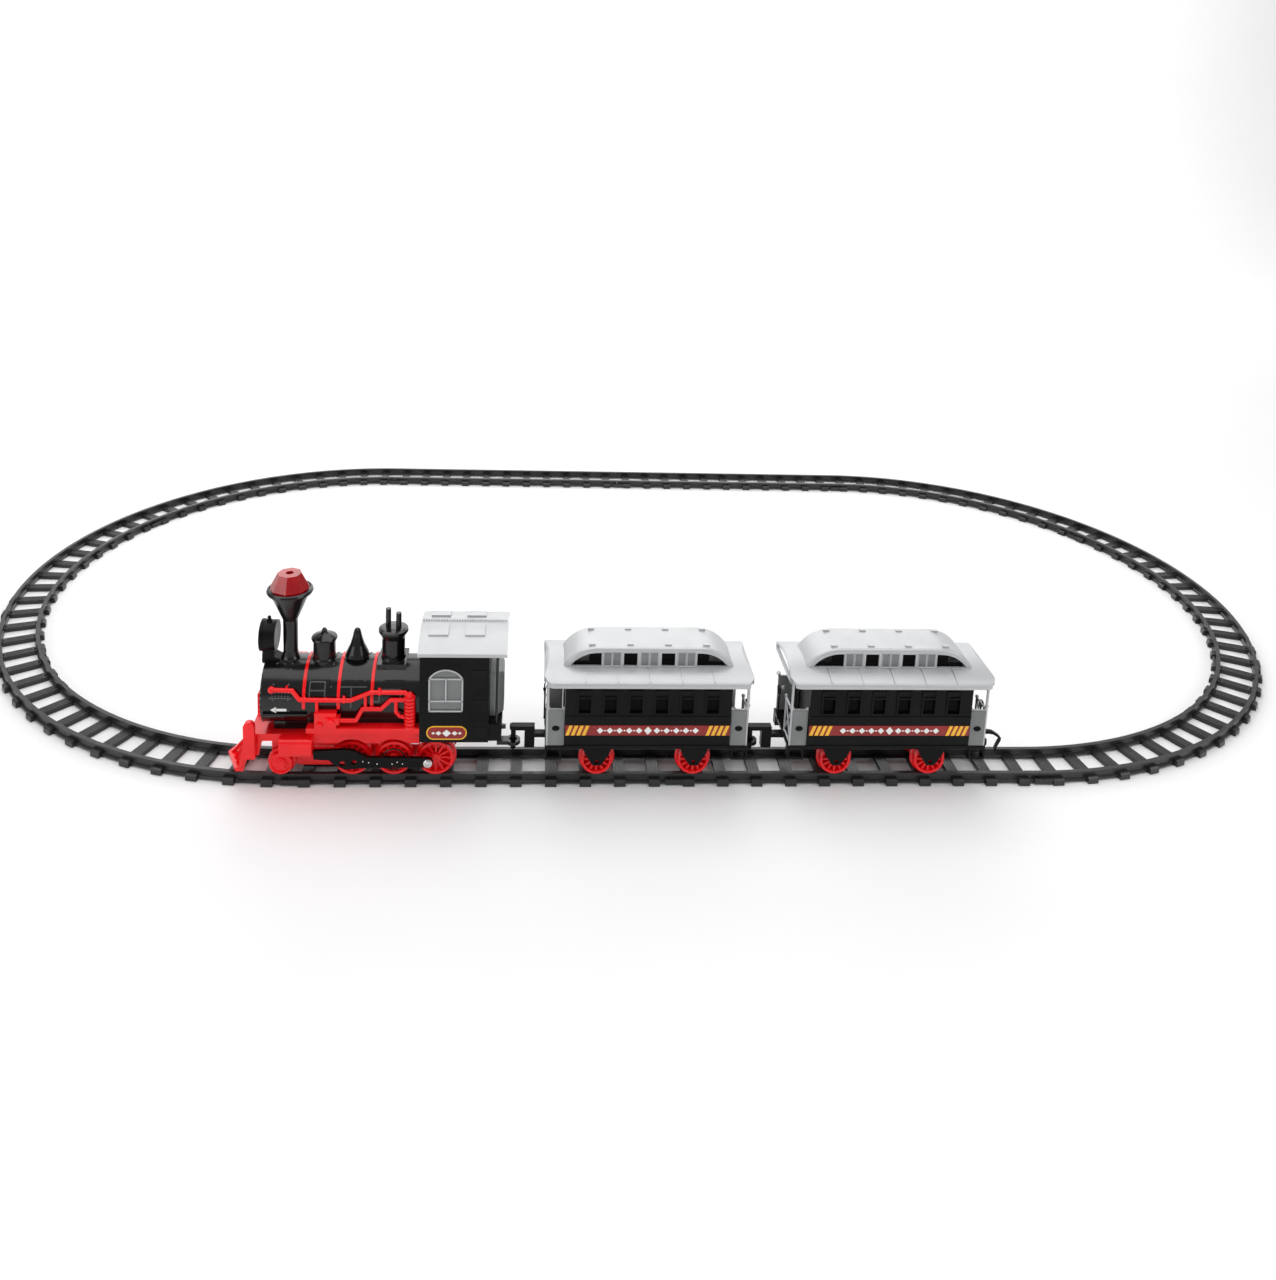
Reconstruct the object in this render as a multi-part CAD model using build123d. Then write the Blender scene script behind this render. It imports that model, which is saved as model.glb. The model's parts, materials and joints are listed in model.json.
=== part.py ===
from build123d import *
from math import acos, asin, atan2, cos, degrees, hypot, pi, radians, sin, sqrt, tan
import os

# Battery train set on an oval of clip-together track, millimetres, +Z up.
# +X runs along the straights, the train heads towards -X on the front straight (-Y side).
# The origin is the centre of the whole set's footprint, on the floor.

# ---- track -----------------------------------------------------------------
sleeper_pitch = 27.5
sleepers_per_straight = 11
sleepers_per_curve = 12
curve_angle = 60.0
curve_radius = 325.6
sleeper_length = 44.0
sleeper_width = 9.0
sleeper_height = 4.0
rail_spacing = 32.7            # centre to centre
rail_top = 9.0
rail_head_width = 3.4
rail_head_height = 2.2
rail_web_width = 2.0
rail_foot_width = 5.0
rail_foot_height = 1.4
rail_foot_bottom = 1.0
chair_height = 1.4             # block outside each rail, above the sleeper
chair_width = 1.8
joint_gap = 0.15               # half the gap between two sections
clip_length = 14.0
clip_overhang = 5.0
clip_thickness = 1.6
clip_height = 4.2

# ---- wheels and axles --------------------------------------------------------
tread_gap = 0.25               # wheel tread above the rail
flange_depth = 1.8
flange_gap = 0.45              # flange to the rail head's inner side
flange_thickness = 1.6
tread_width = 4.6
driver_radius = 14.0
pilot_radius = 9.0
coach_wheel_radius = 12.5
axle_radius = 1.5
bearing_clearance = 0.06       # radial, axle in frame
spoke_count = 12
spoke_width = 1.5
rim_depth = 2.2
hub_radius = 3.4
crank_radius = 5.6
crank_pin_radius = 1.9
rod_clearance = 0.06           # radial, rod on crank pin
rod_side_gap = 0.5

# ---- locomotive --------------------------------------------------------------
train_front = -352.0           # cowcatcher tip
pilot_axle_x = train_front + 45.0
driver_pitch = 32.5
rear_driver_x = pilot_axle_x + 120.0
boiler_radius = 25.5
boiler_wall = 2.0
boiler_front_x = train_front + 31.5
boiler_axis_above_rail = 64.0
board_above_rail = 46.5        # running board's top
board_thickness = 4.0
board_half_width = 30.0
board_front_x = pilot_axle_x + 22.0
deck_above_rail = 35.0         # inner deck's top
deck_thickness = 2.0
skirt_gap = 1.6                # wheel face to skirt
skirt_thickness = 1.6
skirt_drop = 13.5
arch_gap = 2.4
frame_half_width = 11.6
frame_wall = 1.8
firebox_half_width = boiler_radius - 3.5
cylinder_length = 25.0
cylinder_height = 15.0
cylinder_bottom_above_rail = 21.0
cylinder_half_width = 30.0
cab_length = 53.0
cab_half_width = 30.0
cab_wall = 2.0
cab_bottom_above_rail = 35.0
cab_height = 75.5
cab_roof_half_width = 34.5
cab_roof_length = 68.0
cab_roof_rise = 10.5
roof_thickness = 1.8
platform_length = 10.0
platform_height = 14.0
window_width = 26.0
window_height = 35.0
chimney_x = boiler_front_x + 18.5
sand_dome_x = boiler_front_x + 44.5
bell_dome_x = boiler_front_x + 70.0
steam_dome_x = boiler_front_x + 98.0
band_offsets = (32.0, 58.2, 83.6)
band_width = 2.4
band_height = 1.0
lamp_radius = 11.6
lamp_length = 12.0
lamp_above_boiler = 18.5
pipe_radius = 1.7
pipe_gap = 0.3
door_width = 34.0              # battery door
door_height = 36.0
door_bulge = 11.0
hinge_stand = 1.8               # battery door's hinge line behind the cab's back
hinge_knuckle_radius = 1.5
hinge_pin_radius = 0.8
hinge_clearance = 0.1
battery_radius = 7.15
battery_length = 50.0
battery_gap = 0.25
motor_radius = 10.0
motor_length = 18.0

# ---- gears -------------------------------------------------------------------
gear_module = 0.6
motor_teeth = 10
reduction_big_teeth = 36
reduction_small_teeth = 12
axle_teeth = int(2.3 * driver_radius)
pressure_angle = 20.0
gear_backlash = 0.16
gear_face = 3.0
gear_side_gap = 0.4
gear_bottom_gap = 0.25          # axle gear above the bottom cover

# ---- coaches -----------------------------------------------------------------
coach_body_length = 130.0
coach_pitch = coach_body_length + 62.0
cab_to_pin = 9.0               # first drawbar pin behind the cab's platform
coach_body_half_width = 29.0
coach_wall = 1.6
coach_floor_above_rail = 30.0
coach_body_height = 54.5
coach_roof_length = coach_body_length + 34.0
coach_roof_half_width = 34.0
coach_roof_rise = 9.0          # half an ellipse over the coach
clerestory_length = coach_body_length + 5.0
clerestory_curve = 27.0         # length of each curved end
clerestory_half_width = 18.0
clerestory_height = 15.9        # above the vault beside it
clerestory_wall = 1.6
light_width = 10.6              # square lights of the clerestory
light_height = 10.8
light_offset = 14.8             # square light's middle from the coach's middle
end_light_start = 37.5          # where the curved end lights begin
roof_seam_pitch = 25.0
coach_wheelbase = 77.0
coach_windows = 6
coach_window_pitch = coach_body_length / 6.5
coach_window_width = 9.4
coach_window_height = 18.0
coach_window_sill = 29.5       # above the floor
underframe_thickness = 2.6
underframe_half_width = 27.0
step_drop = 9.0
coach_pin_ahead = coach_body_length / 2 + 40.0  # drawbar pin ahead of the coach's centre
coach_eye_behind = coach_pin_ahead - 18.0

# ---- couplers ----------------------------------------------------------------
eye_radius = 3.2
eye_rim = 2.6
eye_thickness = 3.0
coupler_pin_radius = 2.0
coupler_pin_drop = 8.0         # pin's end below the eye's top
drawbar_thickness = 3.4
drawbar_width = 6.0
eye_above_rail = 19.0
drawbar_gap = 0.5              # tail below the underframe, each side of it
hook_rise = 9.0                # hook bar's underside above the eye
riser_length = 8.0
riser_ahead = 8.0              # riser ahead of the coach's end
pivot_radius = 1.6
pivot_clearance = 0.08

# ---- worked out --------------------------------------------------------------
straight_length = sleeper_pitch * sleepers_per_straight
track_half_width = sleeper_length / 2
oval_centre_y = (cab_roof_half_width - track_half_width) / 2
train_y = oval_centre_y - curve_radius
tread_inner = rail_spacing / 2 - rail_head_width / 2 - flange_gap
wheel_back = tread_inner - flange_thickness
wheel_face = tread_inner + tread_width
boiler_z = rail_top + boiler_axis_above_rail
boiler_top_z = boiler_z + boiler_radius
board_z = rail_top + board_above_rail
deck_z = rail_top + deck_above_rail
cab_bottom_z = rail_top + cab_bottom_above_rail
cab_top_z = cab_bottom_z + cab_height
cab_front_x = rear_driver_x - 12.0
cab_back_x = cab_front_x + cab_length
platform_back_x = cab_back_x + platform_length
first_coach_x = platform_back_x + cab_to_pin + coach_pin_ahead
driver_xs = [rear_driver_x - driver_pitch * i for i in (2, 1, 0)]
driver_z = rail_top + tread_gap + driver_radius
frame_bottom_z = driver_z - gear_module * (axle_teeth / 2 + 1) - gear_bottom_gap
pilot_z = rail_top + tread_gap + pilot_radius
coach_axle_z = rail_top + tread_gap + coach_wheel_radius
skirt_inner = wheel_face + skirt_gap
skirt_outer = skirt_inner + skirt_thickness
rod_inner = skirt_outer + rod_side_gap
rod_thickness = 2.8
rod_outer = rod_inner + rod_thickness
lamp_z = boiler_top_z + lamp_above_boiler
pipe_y = boiler_radius + pipe_gap + pipe_radius
eye_z = rail_top + eye_above_rail
coach_floor_z = rail_top + coach_floor_above_rail
coach_top_z = coach_floor_z + coach_body_height
motor_x = rear_driver_x - driver_pitch / 2
motor_z = driver_z + sqrt((driver_radius + flange_depth + motor_radius + 1.0) ** 2 - (driver_pitch / 2) ** 2)


# ---- building blocks -----------------------------------------------------------
def block(x0, x1, y0, y1, z0, z1):
    return Pos((x0 + x1) / 2, (y0 + y1) / 2, (z0 + z1) / 2) * Box(x1 - x0, y1 - y0, z1 - z0)


def rod_x(x0, x1, y, z, radius):
    return Pos((x0 + x1) / 2, y, z) * Rot(0, 90, 0) * Cylinder(radius, x1 - x0)


def rod_y(y0, y1, x, z, radius):
    return Pos(x, (y0 + y1) / 2, z) * Rot(90, 0, 0) * Cylinder(radius, y1 - y0)


def rod_z(z0, z1, x, y, radius):
    return Pos(x, y, (z0 + z1) / 2) * Cylinder(radius, z1 - z0)


def side_plate(points, y0, y1):
    """A flat outline of (x, z) points, thick from y0 to y1."""
    outline = Polyline(*[(x, y0, z) for x, z in points], close=True)
    return extrude(make_face(outline), amount=y1 - y0, dir=(0, 1, 0))


def cross_section(points, x0, x1):
    """A section of (y, z) points, long from x0 to x1."""
    outline = Polyline(*[(x0, y, z) for y, z in points], close=True)
    return extrude(make_face(outline), amount=x1 - x0, dir=(1, 0, 0))


def floor_plate(points, z0, z1):
    """A plan of (x, y) points, thick from z0 to z1."""
    outline = Polyline(*[(x, y, z0) for x, y in points], close=True)
    return extrude(make_face(outline), amount=z1 - z0, dir=(0, 0, 1))


def turned_z(profile, x, y):
    """A profile of (radius, z) points turned about an upright axis."""
    outline = Polyline(*[(x + r, y, z) for r, z in profile], close=True)
    return revolve(make_face(outline), Axis((x, y, 0), (0, 0, 1)))


def turned_y(profile, x, z):
    """A profile of (radius, y) points turned about an axis across the train."""
    outline = Polyline(*[(x + r, y, z) for r, y in profile], close=True)
    return revolve(make_face(outline), Axis((x, 0, z), (0, 1, 0)))


def turned_x(profile, y, z):
    """A profile of (radius, x) points turned about an axis along the train."""
    outline = Polyline(*[(x, y, z + r) for r, x in profile], close=True)
    return revolve(make_face(outline), Axis((0, y, z), (1, 0, 0)))


def bar(start, end, width, height):
    """A straight bar of rectangular section between two points."""
    run = Vector(*end) - Vector(*start)
    frame = Plane(origin=start, z_dir=run)
    return frame * (Pos(0, 0, run.length / 2) * Box(width, height, run.length))


def wire(points, radius):
    """A round wire through points, with a ball at each corner."""
    solid = None
    for start, end in zip(points, points[1:]):
        run = Vector(*end) - Vector(*start)
        stretch = Plane(origin=start, z_dir=run) * (Pos(0, 0, run.length / 2) * Cylinder(radius, run.length))
        solid = stretch if solid is None else solid + stretch
    for point in points[1:-1]:
        solid = solid + Pos(*point) * Sphere(radius)
    return solid


def arc_points(cx, cz, radius, start, end, steps):
    """Points along an arc, angles in degrees."""
    turn = [radians(start + (end - start) * i / steps) for i in range(steps + 1)]
    return [(cx + radius * cos(a), cz + radius * sin(a)) for a in turn]


def arch_height(y, half_width, rise):
    """Height of a segmental arch over its springing, at y from its middle."""
    radius = (half_width ** 2 + rise ** 2) / (2 * rise)
    return sqrt(radius ** 2 - y ** 2) - (radius - rise)


def arch_points(half_width, rise, spring_z, steps=16):
    ys = [half_width - 2 * half_width * i / steps for i in range(steps + 1)]
    return [(y, spring_z + arch_height(y, half_width, rise)) for y in ys]


def both_sides(solid):
    """A piece and its mirror image across the train's centre plane."""
    return solid + mirror(solid, about=Plane.XZ)


def save(name, *solids):
    """Write one node, moved from the train's centre line to its straight."""
    placed = [Pos(0, train_y, 0) * s for s in solids]
    shape = placed[0] if len(placed) == 1 else Compound(children=[s for p in placed for s in p.solids()])
    export_step(shape, f"parts/{name}.step")


# ---- track -----------------------------------------------------------------------
def rail_profile(centre):
    head, web, foot = rail_head_width / 2, rail_web_width / 2, rail_foot_width / 2
    head_z = rail_top - rail_head_height
    foot_z = rail_foot_bottom + rail_foot_height
    right = [(foot, rail_foot_bottom), (foot, foot_z), (web, foot_z + 0.8), (web, head_z - 0.6),
             (head, head_z), (head, rail_top)]
    left = [(-a, z) for a, z in reversed(right)]
    return [(centre + a, z) for a, z in right + left]


def sleeper_section():
    """Section across the track: flat bed, with a sloped chair outside each rail."""
    chair = rail_spacing / 2 + rail_foot_width / 2
    side = [(track_half_width, 0), (track_half_width, sleeper_height - 0.8),
            (chair + chair_width + 1.2, sleeper_height), (chair + chair_width, sleeper_height + chair_height),
            (chair - 1.6, sleeper_height + chair_height), (chair - 1.6, sleeper_height)]
    return side + [(-a, z) for a, z in reversed(side)]


def joint_clip(side):
    """Side clip that reaches past the section's end, on one side; the end is at x = 0."""
    inner = rail_spacing / 2 + rail_foot_width / 2
    root = block(-clip_length, -joint_gap, inner - 1.2, inner + 0.3 + clip_thickness,
                 rail_foot_bottom, rail_foot_bottom + clip_height)
    reach = block(-clip_length, clip_overhang, inner + 0.3, inner + 0.3 + clip_thickness,
                  rail_foot_bottom, rail_foot_bottom + clip_height)
    clip = root + reach
    return clip if side > 0 else mirror(clip, about=Plane.XZ)


def straight_section():
    """One straight, from x = 0 to its length, centred on y = 0."""
    section = None
    for i in range(sleepers_per_straight):
        x = sleeper_pitch * (i + 0.5)
        sleeper = cross_section(sleeper_section(), x - sleeper_width / 2, x + sleeper_width / 2)
        section = sleeper if section is None else section + sleeper
    for side in (-1, 1):
        section += cross_section(rail_profile(side * rail_spacing / 2), joint_gap, straight_length - joint_gap)
    section += Pos(straight_length, 0, 0) * joint_clip(1)
    section += Rot(0, 0, 180) * joint_clip(1)
    return section


def curve_section():
    """One curve about the origin, its path from angle 0 to the curve's angle."""
    section = None
    for i in range(sleepers_per_curve):
        angle = curve_angle * (i + 0.5) / sleepers_per_curve
        points = [(curve_radius + a, z) for a, z in sleeper_section()]
        outline = Polyline(*[(a, -sleeper_width / 2, z) for a, z in points], close=True)
        sleeper = Rot(0, 0, angle) * extrude(make_face(outline), amount=sleeper_width, dir=(0, 1, 0))
        section = sleeper if section is None else section + sleeper
    end_angle = degrees(joint_gap / curve_radius)
    for side in (-1, 1):
        points = rail_profile(curve_radius + side * rail_spacing / 2)
        outline = Polyline(*[(a, 0, z) for a, z in points], close=True)
        rail = revolve(make_face(outline), Axis.Z, curve_angle - 2 * end_angle)
        section += Rot(0, 0, end_angle) * rail
    start = Pos(curve_radius, 0, 0) * Rot(0, 0, 90)
    section += start * Rot(0, 0, 180) * joint_clip(1)
    section += Rot(0, 0, curve_angle) * start * joint_clip(1)
    return section


def track():
    straight = straight_section()
    curve = curve_section()
    near, far = oval_centre_y - curve_radius, oval_centre_y + curve_radius
    places = [(-straight_length, near), (0, near), (-straight_length, far), (0, far)]
    for i, (x, y) in enumerate(places):
        export_step(Pos(x, y, 0) * straight, f"parts/straight_track_{i + 1}.step")
    per_end = round(180 / curve_angle)
    for i in range(2 * per_end):
        centre_x = straight_length if i < per_end else -straight_length
        placed = Pos(centre_x, oval_centre_y, 0) * Rot(0, 0, -90 + curve_angle * i) * curve
        export_step(placed, f"parts/curved_track_{i + 1}.step")


# ---- gears -----------------------------------------------------------------------
def gear(teeth, y0, y1, x, z, turn, bore=0.0):
    """Involute spur gear across the train; turn is the angle of a tooth from +X towards +Z."""
    pitch_r = gear_module * teeth / 2
    base_r = pitch_r * cos(radians(pressure_angle))
    tip_r = pitch_r + 0.85 * gear_module
    root_r = pitch_r - 1.15 * gear_module
    half_pitch = pi / (2 * teeth) - gear_backlash / (2 * pitch_r)
    involute = tan(radians(pressure_angle)) - radians(pressure_angle)

    def half_angle(radius):
        if radius <= base_r:
            return half_pitch + involute
        slope = acos(base_r / radius)
        return half_pitch + involute - (tan(slope) - slope)

    start_r = max(root_r, base_r)
    radii = [start_r + (tip_r - start_r) * i / 4 for i in range(5)]
    flank = [(r, half_angle(r)) for r in radii]
    if root_r < base_r:
        flank.insert(0, (root_r, half_angle(base_r)))
    points = []
    for i in range(teeth):
        middle = radians(turn) + 2 * pi * i / teeth
        points += [(r, middle - a) for r, a in flank] + [(r, middle + a) for r, a in reversed(flank)]
    wheel = side_plate([(x + r * cos(a), z + r * sin(a)) for r, a in points], y0, y1)
    if bore:
        wheel -= rod_y(y0 - 1, y1 + 1, x, z, bore)
    return wheel


def gear_train_places():
    """Where the reduction gear's pin stands: in mesh with the axle gear and the motor pinion."""
    to_axle = gear_module * (reduction_small_teeth + axle_teeth) / 2
    to_motor = gear_module * (reduction_big_teeth + motor_teeth) / 2
    dx, dz = motor_x - rear_driver_x, motor_z - driver_z
    span = hypot(dx, dz)
    along = (to_axle ** 2 - to_motor ** 2 + span ** 2) / (2 * span)
    aside = sqrt(max(to_axle ** 2 - along ** 2, 0))
    return (rear_driver_x + (along * dx - aside * dz) / span,
            driver_z + (along * dz + aside * dx) / span)


pin_x, pin_z = gear_train_places()
gear_y = 1.2
small_gear_y = gear_y + gear_face + gear_side_gap


# ---- wheels ----------------------------------------------------------------------
def spoked_wheel(radius, x, z, spokes):
    """Right-hand wheel (+Y side): flange inside, spoked web, hub and rim."""
    rim_inner = radius - rim_depth
    rim = turned_y([(rim_inner, wheel_back), (radius + flange_depth, wheel_back),
                    (radius + flange_depth, wheel_back + 1.0), (radius, tread_inner + 0.3),
                    (radius - 0.15, wheel_face), (rim_inner, wheel_face)], x, z)
    web = rod_y(wheel_back + 0.6, wheel_back + 2.4, x, z, rim_inner + 0.4)
    hub = rod_y(wheel_back, wheel_face + 0.8, x, z, hub_radius)
    wheel = rim + web + hub
    for i in range(spokes):
        spoke = block(hub_radius - 0.6, rim_inner + 0.6, -wheel_face + 0.8, -wheel_back - 1.2,
                      -spoke_width / 2, spoke_width / 2)
        wheel += Pos(x, 0, z) * Rot(0, 360 * i / spokes, 0) * mirror(spoke, about=Plane.XZ)
    return wheel - rod_y(0, wheel_face + 2, x, z, axle_radius)


def disc_wheel(radius, x, z):
    """Small pilot wheel with a stepped solid face."""
    wheel = turned_y([(0, wheel_back), (radius + flange_depth, wheel_back),
                      (radius + flange_depth, wheel_back + 1.0), (radius, tread_inner + 0.3),
                      (radius - 0.15, wheel_face), (radius - 1.6, wheel_face), (radius - 2.0, wheel_face - 1.0),
                      (hub_radius + 1.0, wheel_face - 1.0), (hub_radius + 0.6, wheel_face + 0.4),
                      (0, wheel_face + 0.4)], x, z)
    return wheel - rod_y(0, wheel_face + 2, x, z, axle_radius)


def wheelset(name, wheel, x, z):
    axle = rod_y(-wheel_face, wheel_face, x, z, axle_radius)
    save(name, wheel, mirror(wheel, about=Plane.XZ), axle)


def crank_boss(x, z):
    """Boss on the rear wheels that carries the crank pin, towards the front at rest."""
    boss = rod_y(wheel_back + 1.2, rod_inner - 0.2, x - crank_radius, z, crank_pin_radius + 1.2)
    pin = rod_y(wheel_back + 1.2, rod_outer + 0.2, x - crank_radius, z, crank_pin_radius)
    return boss + pin


def driver_wheelsets():
    names = ("front_driver_wheelset", "middle_driver_wheelset", "rear_driver_wheelset")
    for name, x in zip(names, driver_xs):
        wheel = spoked_wheel(driver_radius, x, driver_z, spoke_count)
        if name.startswith("middle"):
            ring = turned_y([(driver_radius * 0.47, wheel_back + 1.6), (driver_radius * 0.62, wheel_back + 1.6),
                             (driver_radius * 0.62, wheel_face + 0.5), (driver_radius * 0.47, wheel_face + 0.5)],
                            x, driver_z)
            wheel = wheel + ring
        if name.startswith("rear"):
            wheel = wheel + crank_boss(x, driver_z)
        wheelset(name, wheel, x, driver_z)
    wheelset("pilot_wheelset", disc_wheel(pilot_radius, pilot_axle_x, pilot_z), pilot_axle_x, pilot_z)


def side_rods():
    """Rods from the cylinders to the crank pins, one each side."""
    pin_at = rear_driver_x - crank_radius
    front = pilot_axle_x + 1.0 + cylinder_length + 0.4
    middle_z = driver_z
    drop = 5.6
    outline = [(front, middle_z + 3.0), (front, middle_z + 10.0), (front + 24.0, middle_z + 11.2),
               (front + 30.0, middle_z + 10.4), (front + 42.0, middle_z + 4.4), (pin_at + 2.0, middle_z + 3.4)]
    end = arc_points(pin_at, middle_z, 3.9, 60, -60, 8)
    outline = outline[:-1] + [(pin_at, middle_z + 3.9)] + end[1:-1] + [(pin_at, middle_z - 3.9)]
    outline += [(front + 44.0, middle_z - 4.2), (front + 24.0, middle_z - drop), (front + 16.0, middle_z - 2.0),
                (front + 12.0, middle_z + 2.2)]
    rod = side_plate(outline, rod_inner, rod_outer)
    rod -= rod_y(rod_inner - 1, rod_outer + 1, pin_at, middle_z, crank_pin_radius + rod_clearance)
    for i in range(2):
        x = front + 22.0 + 9.0 * i
        rod -= rod_y(rod_inner - 1, rod_outer + 1, x, middle_z - 0.6 + 1.0 * i, 2.2)
    save("side_rods", rod, mirror(rod, about=Plane.XZ))


def crank_screws():
    """Pan-head screws that hold the rods on their pins."""
    x = rear_driver_x - crank_radius
    head = turned_y([(0, rod_outer + 0.2), (3.6, rod_outer + 0.2), (3.4, rod_outer + 1.2), (2.2, rod_outer + 2.0),
                     (0, rod_outer + 2.3)], x, driver_z)
    cross = block(x - 1.8, x + 1.8, rod_outer + 1.3, rod_outer + 3, driver_z - 0.35, driver_z + 0.35)
    cross += block(x - 0.35, x + 0.35, rod_outer + 1.3, rod_outer + 3, driver_z - 1.8, driver_z + 1.8)
    screw = head - cross
    save("crank_screws", screw, mirror(screw, about=Plane.XZ))


def drive():
    """Motor, its pinion, the two-step reduction gear and the gear on the rear axle."""
    small_phase = degrees(atan2(driver_z - pin_z, rear_driver_x - pin_x))
    big_phase = degrees(atan2(motor_z - pin_z, motor_x - pin_x))
    hub_end = small_gear_y + gear_face
    save("drive_gear", gear(axle_teeth, small_gear_y, hub_end, rear_driver_x, driver_z,
                            small_phase + 180 + 180 / axle_teeth, axle_radius))
    big = gear(reduction_big_teeth, gear_y, gear_y + gear_face, pin_x, pin_z, big_phase)
    small = gear(reduction_small_teeth, gear_y, hub_end, pin_x, pin_z, small_phase)
    stub = rod_y(-frame_half_width + 0.4, frame_half_width - 0.4, pin_x, pin_z, axle_radius)
    save("reduction_gear", big + small + stub)
    pinion = gear(motor_teeth, gear_y - 0.2, gear_y + gear_face + 0.2, motor_x, motor_z,
                  big_phase + 180 + 180 / motor_teeth, 1.0)
    shaft = rod_y(gear_y - 1.0 - 4.0, gear_y + gear_face + 1.0, motor_x, motor_z, 1.0)
    save("motor_pinion", pinion + shaft)
    can_end = gear_y - 1.0
    can = rod_y(can_end - motor_length, can_end, motor_x, motor_z, motor_radius)
    can -= block(motor_x - motor_radius, motor_x + motor_radius, can_end - motor_length - 1, can_end + 1,
                 motor_z + 7.6, motor_z + 12)
    can += rod_y(can_end - motor_length - 1.5, can_end - motor_length, motor_x, motor_z, 3.0)
    can -= rod_y(can_end - 4.5, can_end + 1, motor_x, motor_z, 1.0 + bearing_clearance)
    save("motor", can)


# ---- locomotive frame ---------------------------------------------------------------
def arch_cut(x):
    """Round opening in the skirt over one driving wheel."""
    radius = driver_radius + flange_depth + arch_gap
    return rod_y(-cylinder_half_width, cylinder_half_width, x, driver_z, radius)


def loco_frame():
    frame_top = deck_z
    boards = block(board_front_x, cab_front_x, -board_half_width, board_half_width,
                   board_z - board_thickness, board_z)
    boards -= block(board_front_x + 3, cab_front_x + 1, -firebox_half_width + 3, firebox_half_width - 3,
                    board_z - board_thickness - 1, board_z + 1)
    skirt = block(board_front_x, cab_front_x, skirt_inner, skirt_outer,
                  board_z - board_thickness - skirt_drop, board_z)
    skirts = both_sides(skirt)
    for x in driver_xs:
        skirts -= arch_cut(x)
    deck = block(board_front_x, cab_front_x, -skirt_outer, skirt_outer, frame_top - deck_thickness, frame_top)
    front_wall = block(board_front_x, board_front_x + 3, -skirt_outer, skirt_outer, frame_top - 10, board_z)
    frame = boards + skirts + deck + front_wall
    frame -= rod_x(board_front_x - 1, cab_front_x + 1, 0, boiler_z, boiler_radius + 0.05)
    plate = side_plate([(pilot_axle_x - 8, frame_top - 4), (pilot_axle_x - 8, pilot_z - 3.5),
                        (pilot_axle_x + 8, pilot_z - 3.5), (pilot_axle_x + 14, frame_bottom_z),
                        (rear_driver_x + 13, frame_bottom_z), (rear_driver_x + 13, frame_top - 12),
                        (cab_front_x, frame_top - 1), (pilot_axle_x + 1, frame_top - 1),
                        (pilot_axle_x + 1, frame_top - 4)],
                       frame_half_width - frame_wall, frame_half_width)
    frame += both_sides(plate)
    for x in (pilot_axle_x - 7.0, pilot_axle_x + 18, driver_xs[0] + driver_pitch / 2, rear_driver_x + 12.0):
        frame += block(x - 1, x + 1, -frame_half_width + 0.5, frame_half_width - 0.5,
                       frame_bottom_z + 1 if x > pilot_axle_x else pilot_z - 3,
                       frame_top - 4 if x < rear_driver_x else frame_top - 14)
    cylinder_x = pilot_axle_x + 1.0
    cylinder_z = rail_top + cylinder_bottom_above_rail
    cylinder = side_plate([(cylinder_x, cylinder_z + 1.5), (cylinder_x + 1.5, cylinder_z),
                           (cylinder_x + cylinder_length, cylinder_z),
                           (cylinder_x + cylinder_length, cylinder_z + cylinder_height),
                           (cylinder_x, cylinder_z + cylinder_height)], skirt_inner - 2, cylinder_half_width)
    cylinder = fillet(cylinder.edges().filter_by(Axis.X).group_by(Axis.Y)[-1], 4.0)
    guide = block(cylinder_x + cylinder_length - 2, cylinder_x + cylinder_length + 19,
                  wheel_face + 0.6, rod_inner - 0.6, cylinder_z - 5.0, cylinder_z + 3.0)
    frame += both_sides(cylinder + guide)
    frame += block(cylinder_x, cylinder_x + cylinder_length, -skirt_inner, skirt_inner,
                   frame_top - 6, frame_top)
    frame += block(cylinder_x + 12, board_front_x + 3, -skirt_outer, skirt_outer, frame_top - 6, frame_top)
    motor_room = block(motor_x - motor_radius - 0.6, motor_x + motor_radius + 0.6, -skirt_inner,
                       skirt_inner, motor_z - motor_radius - 0.5, board_z + 1)
    frame -= motor_room
    gear_room = rod_y(gear_y - 0.8, gear_y + gear_face + 0.7, pin_x, pin_z,
                      gear_module * (reduction_big_teeth / 2 + 1) + 0.8)
    frame -= gear_room
    for x, z in [(pilot_axle_x, pilot_z)] + [(x, driver_z) for x in driver_xs] + [(pin_x, pin_z)]:
        frame -= rod_y(-frame_half_width - 1, frame_half_width + 1, x, z, axle_radius + bearing_clearance)
    save("loco_frame", frame)


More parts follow.
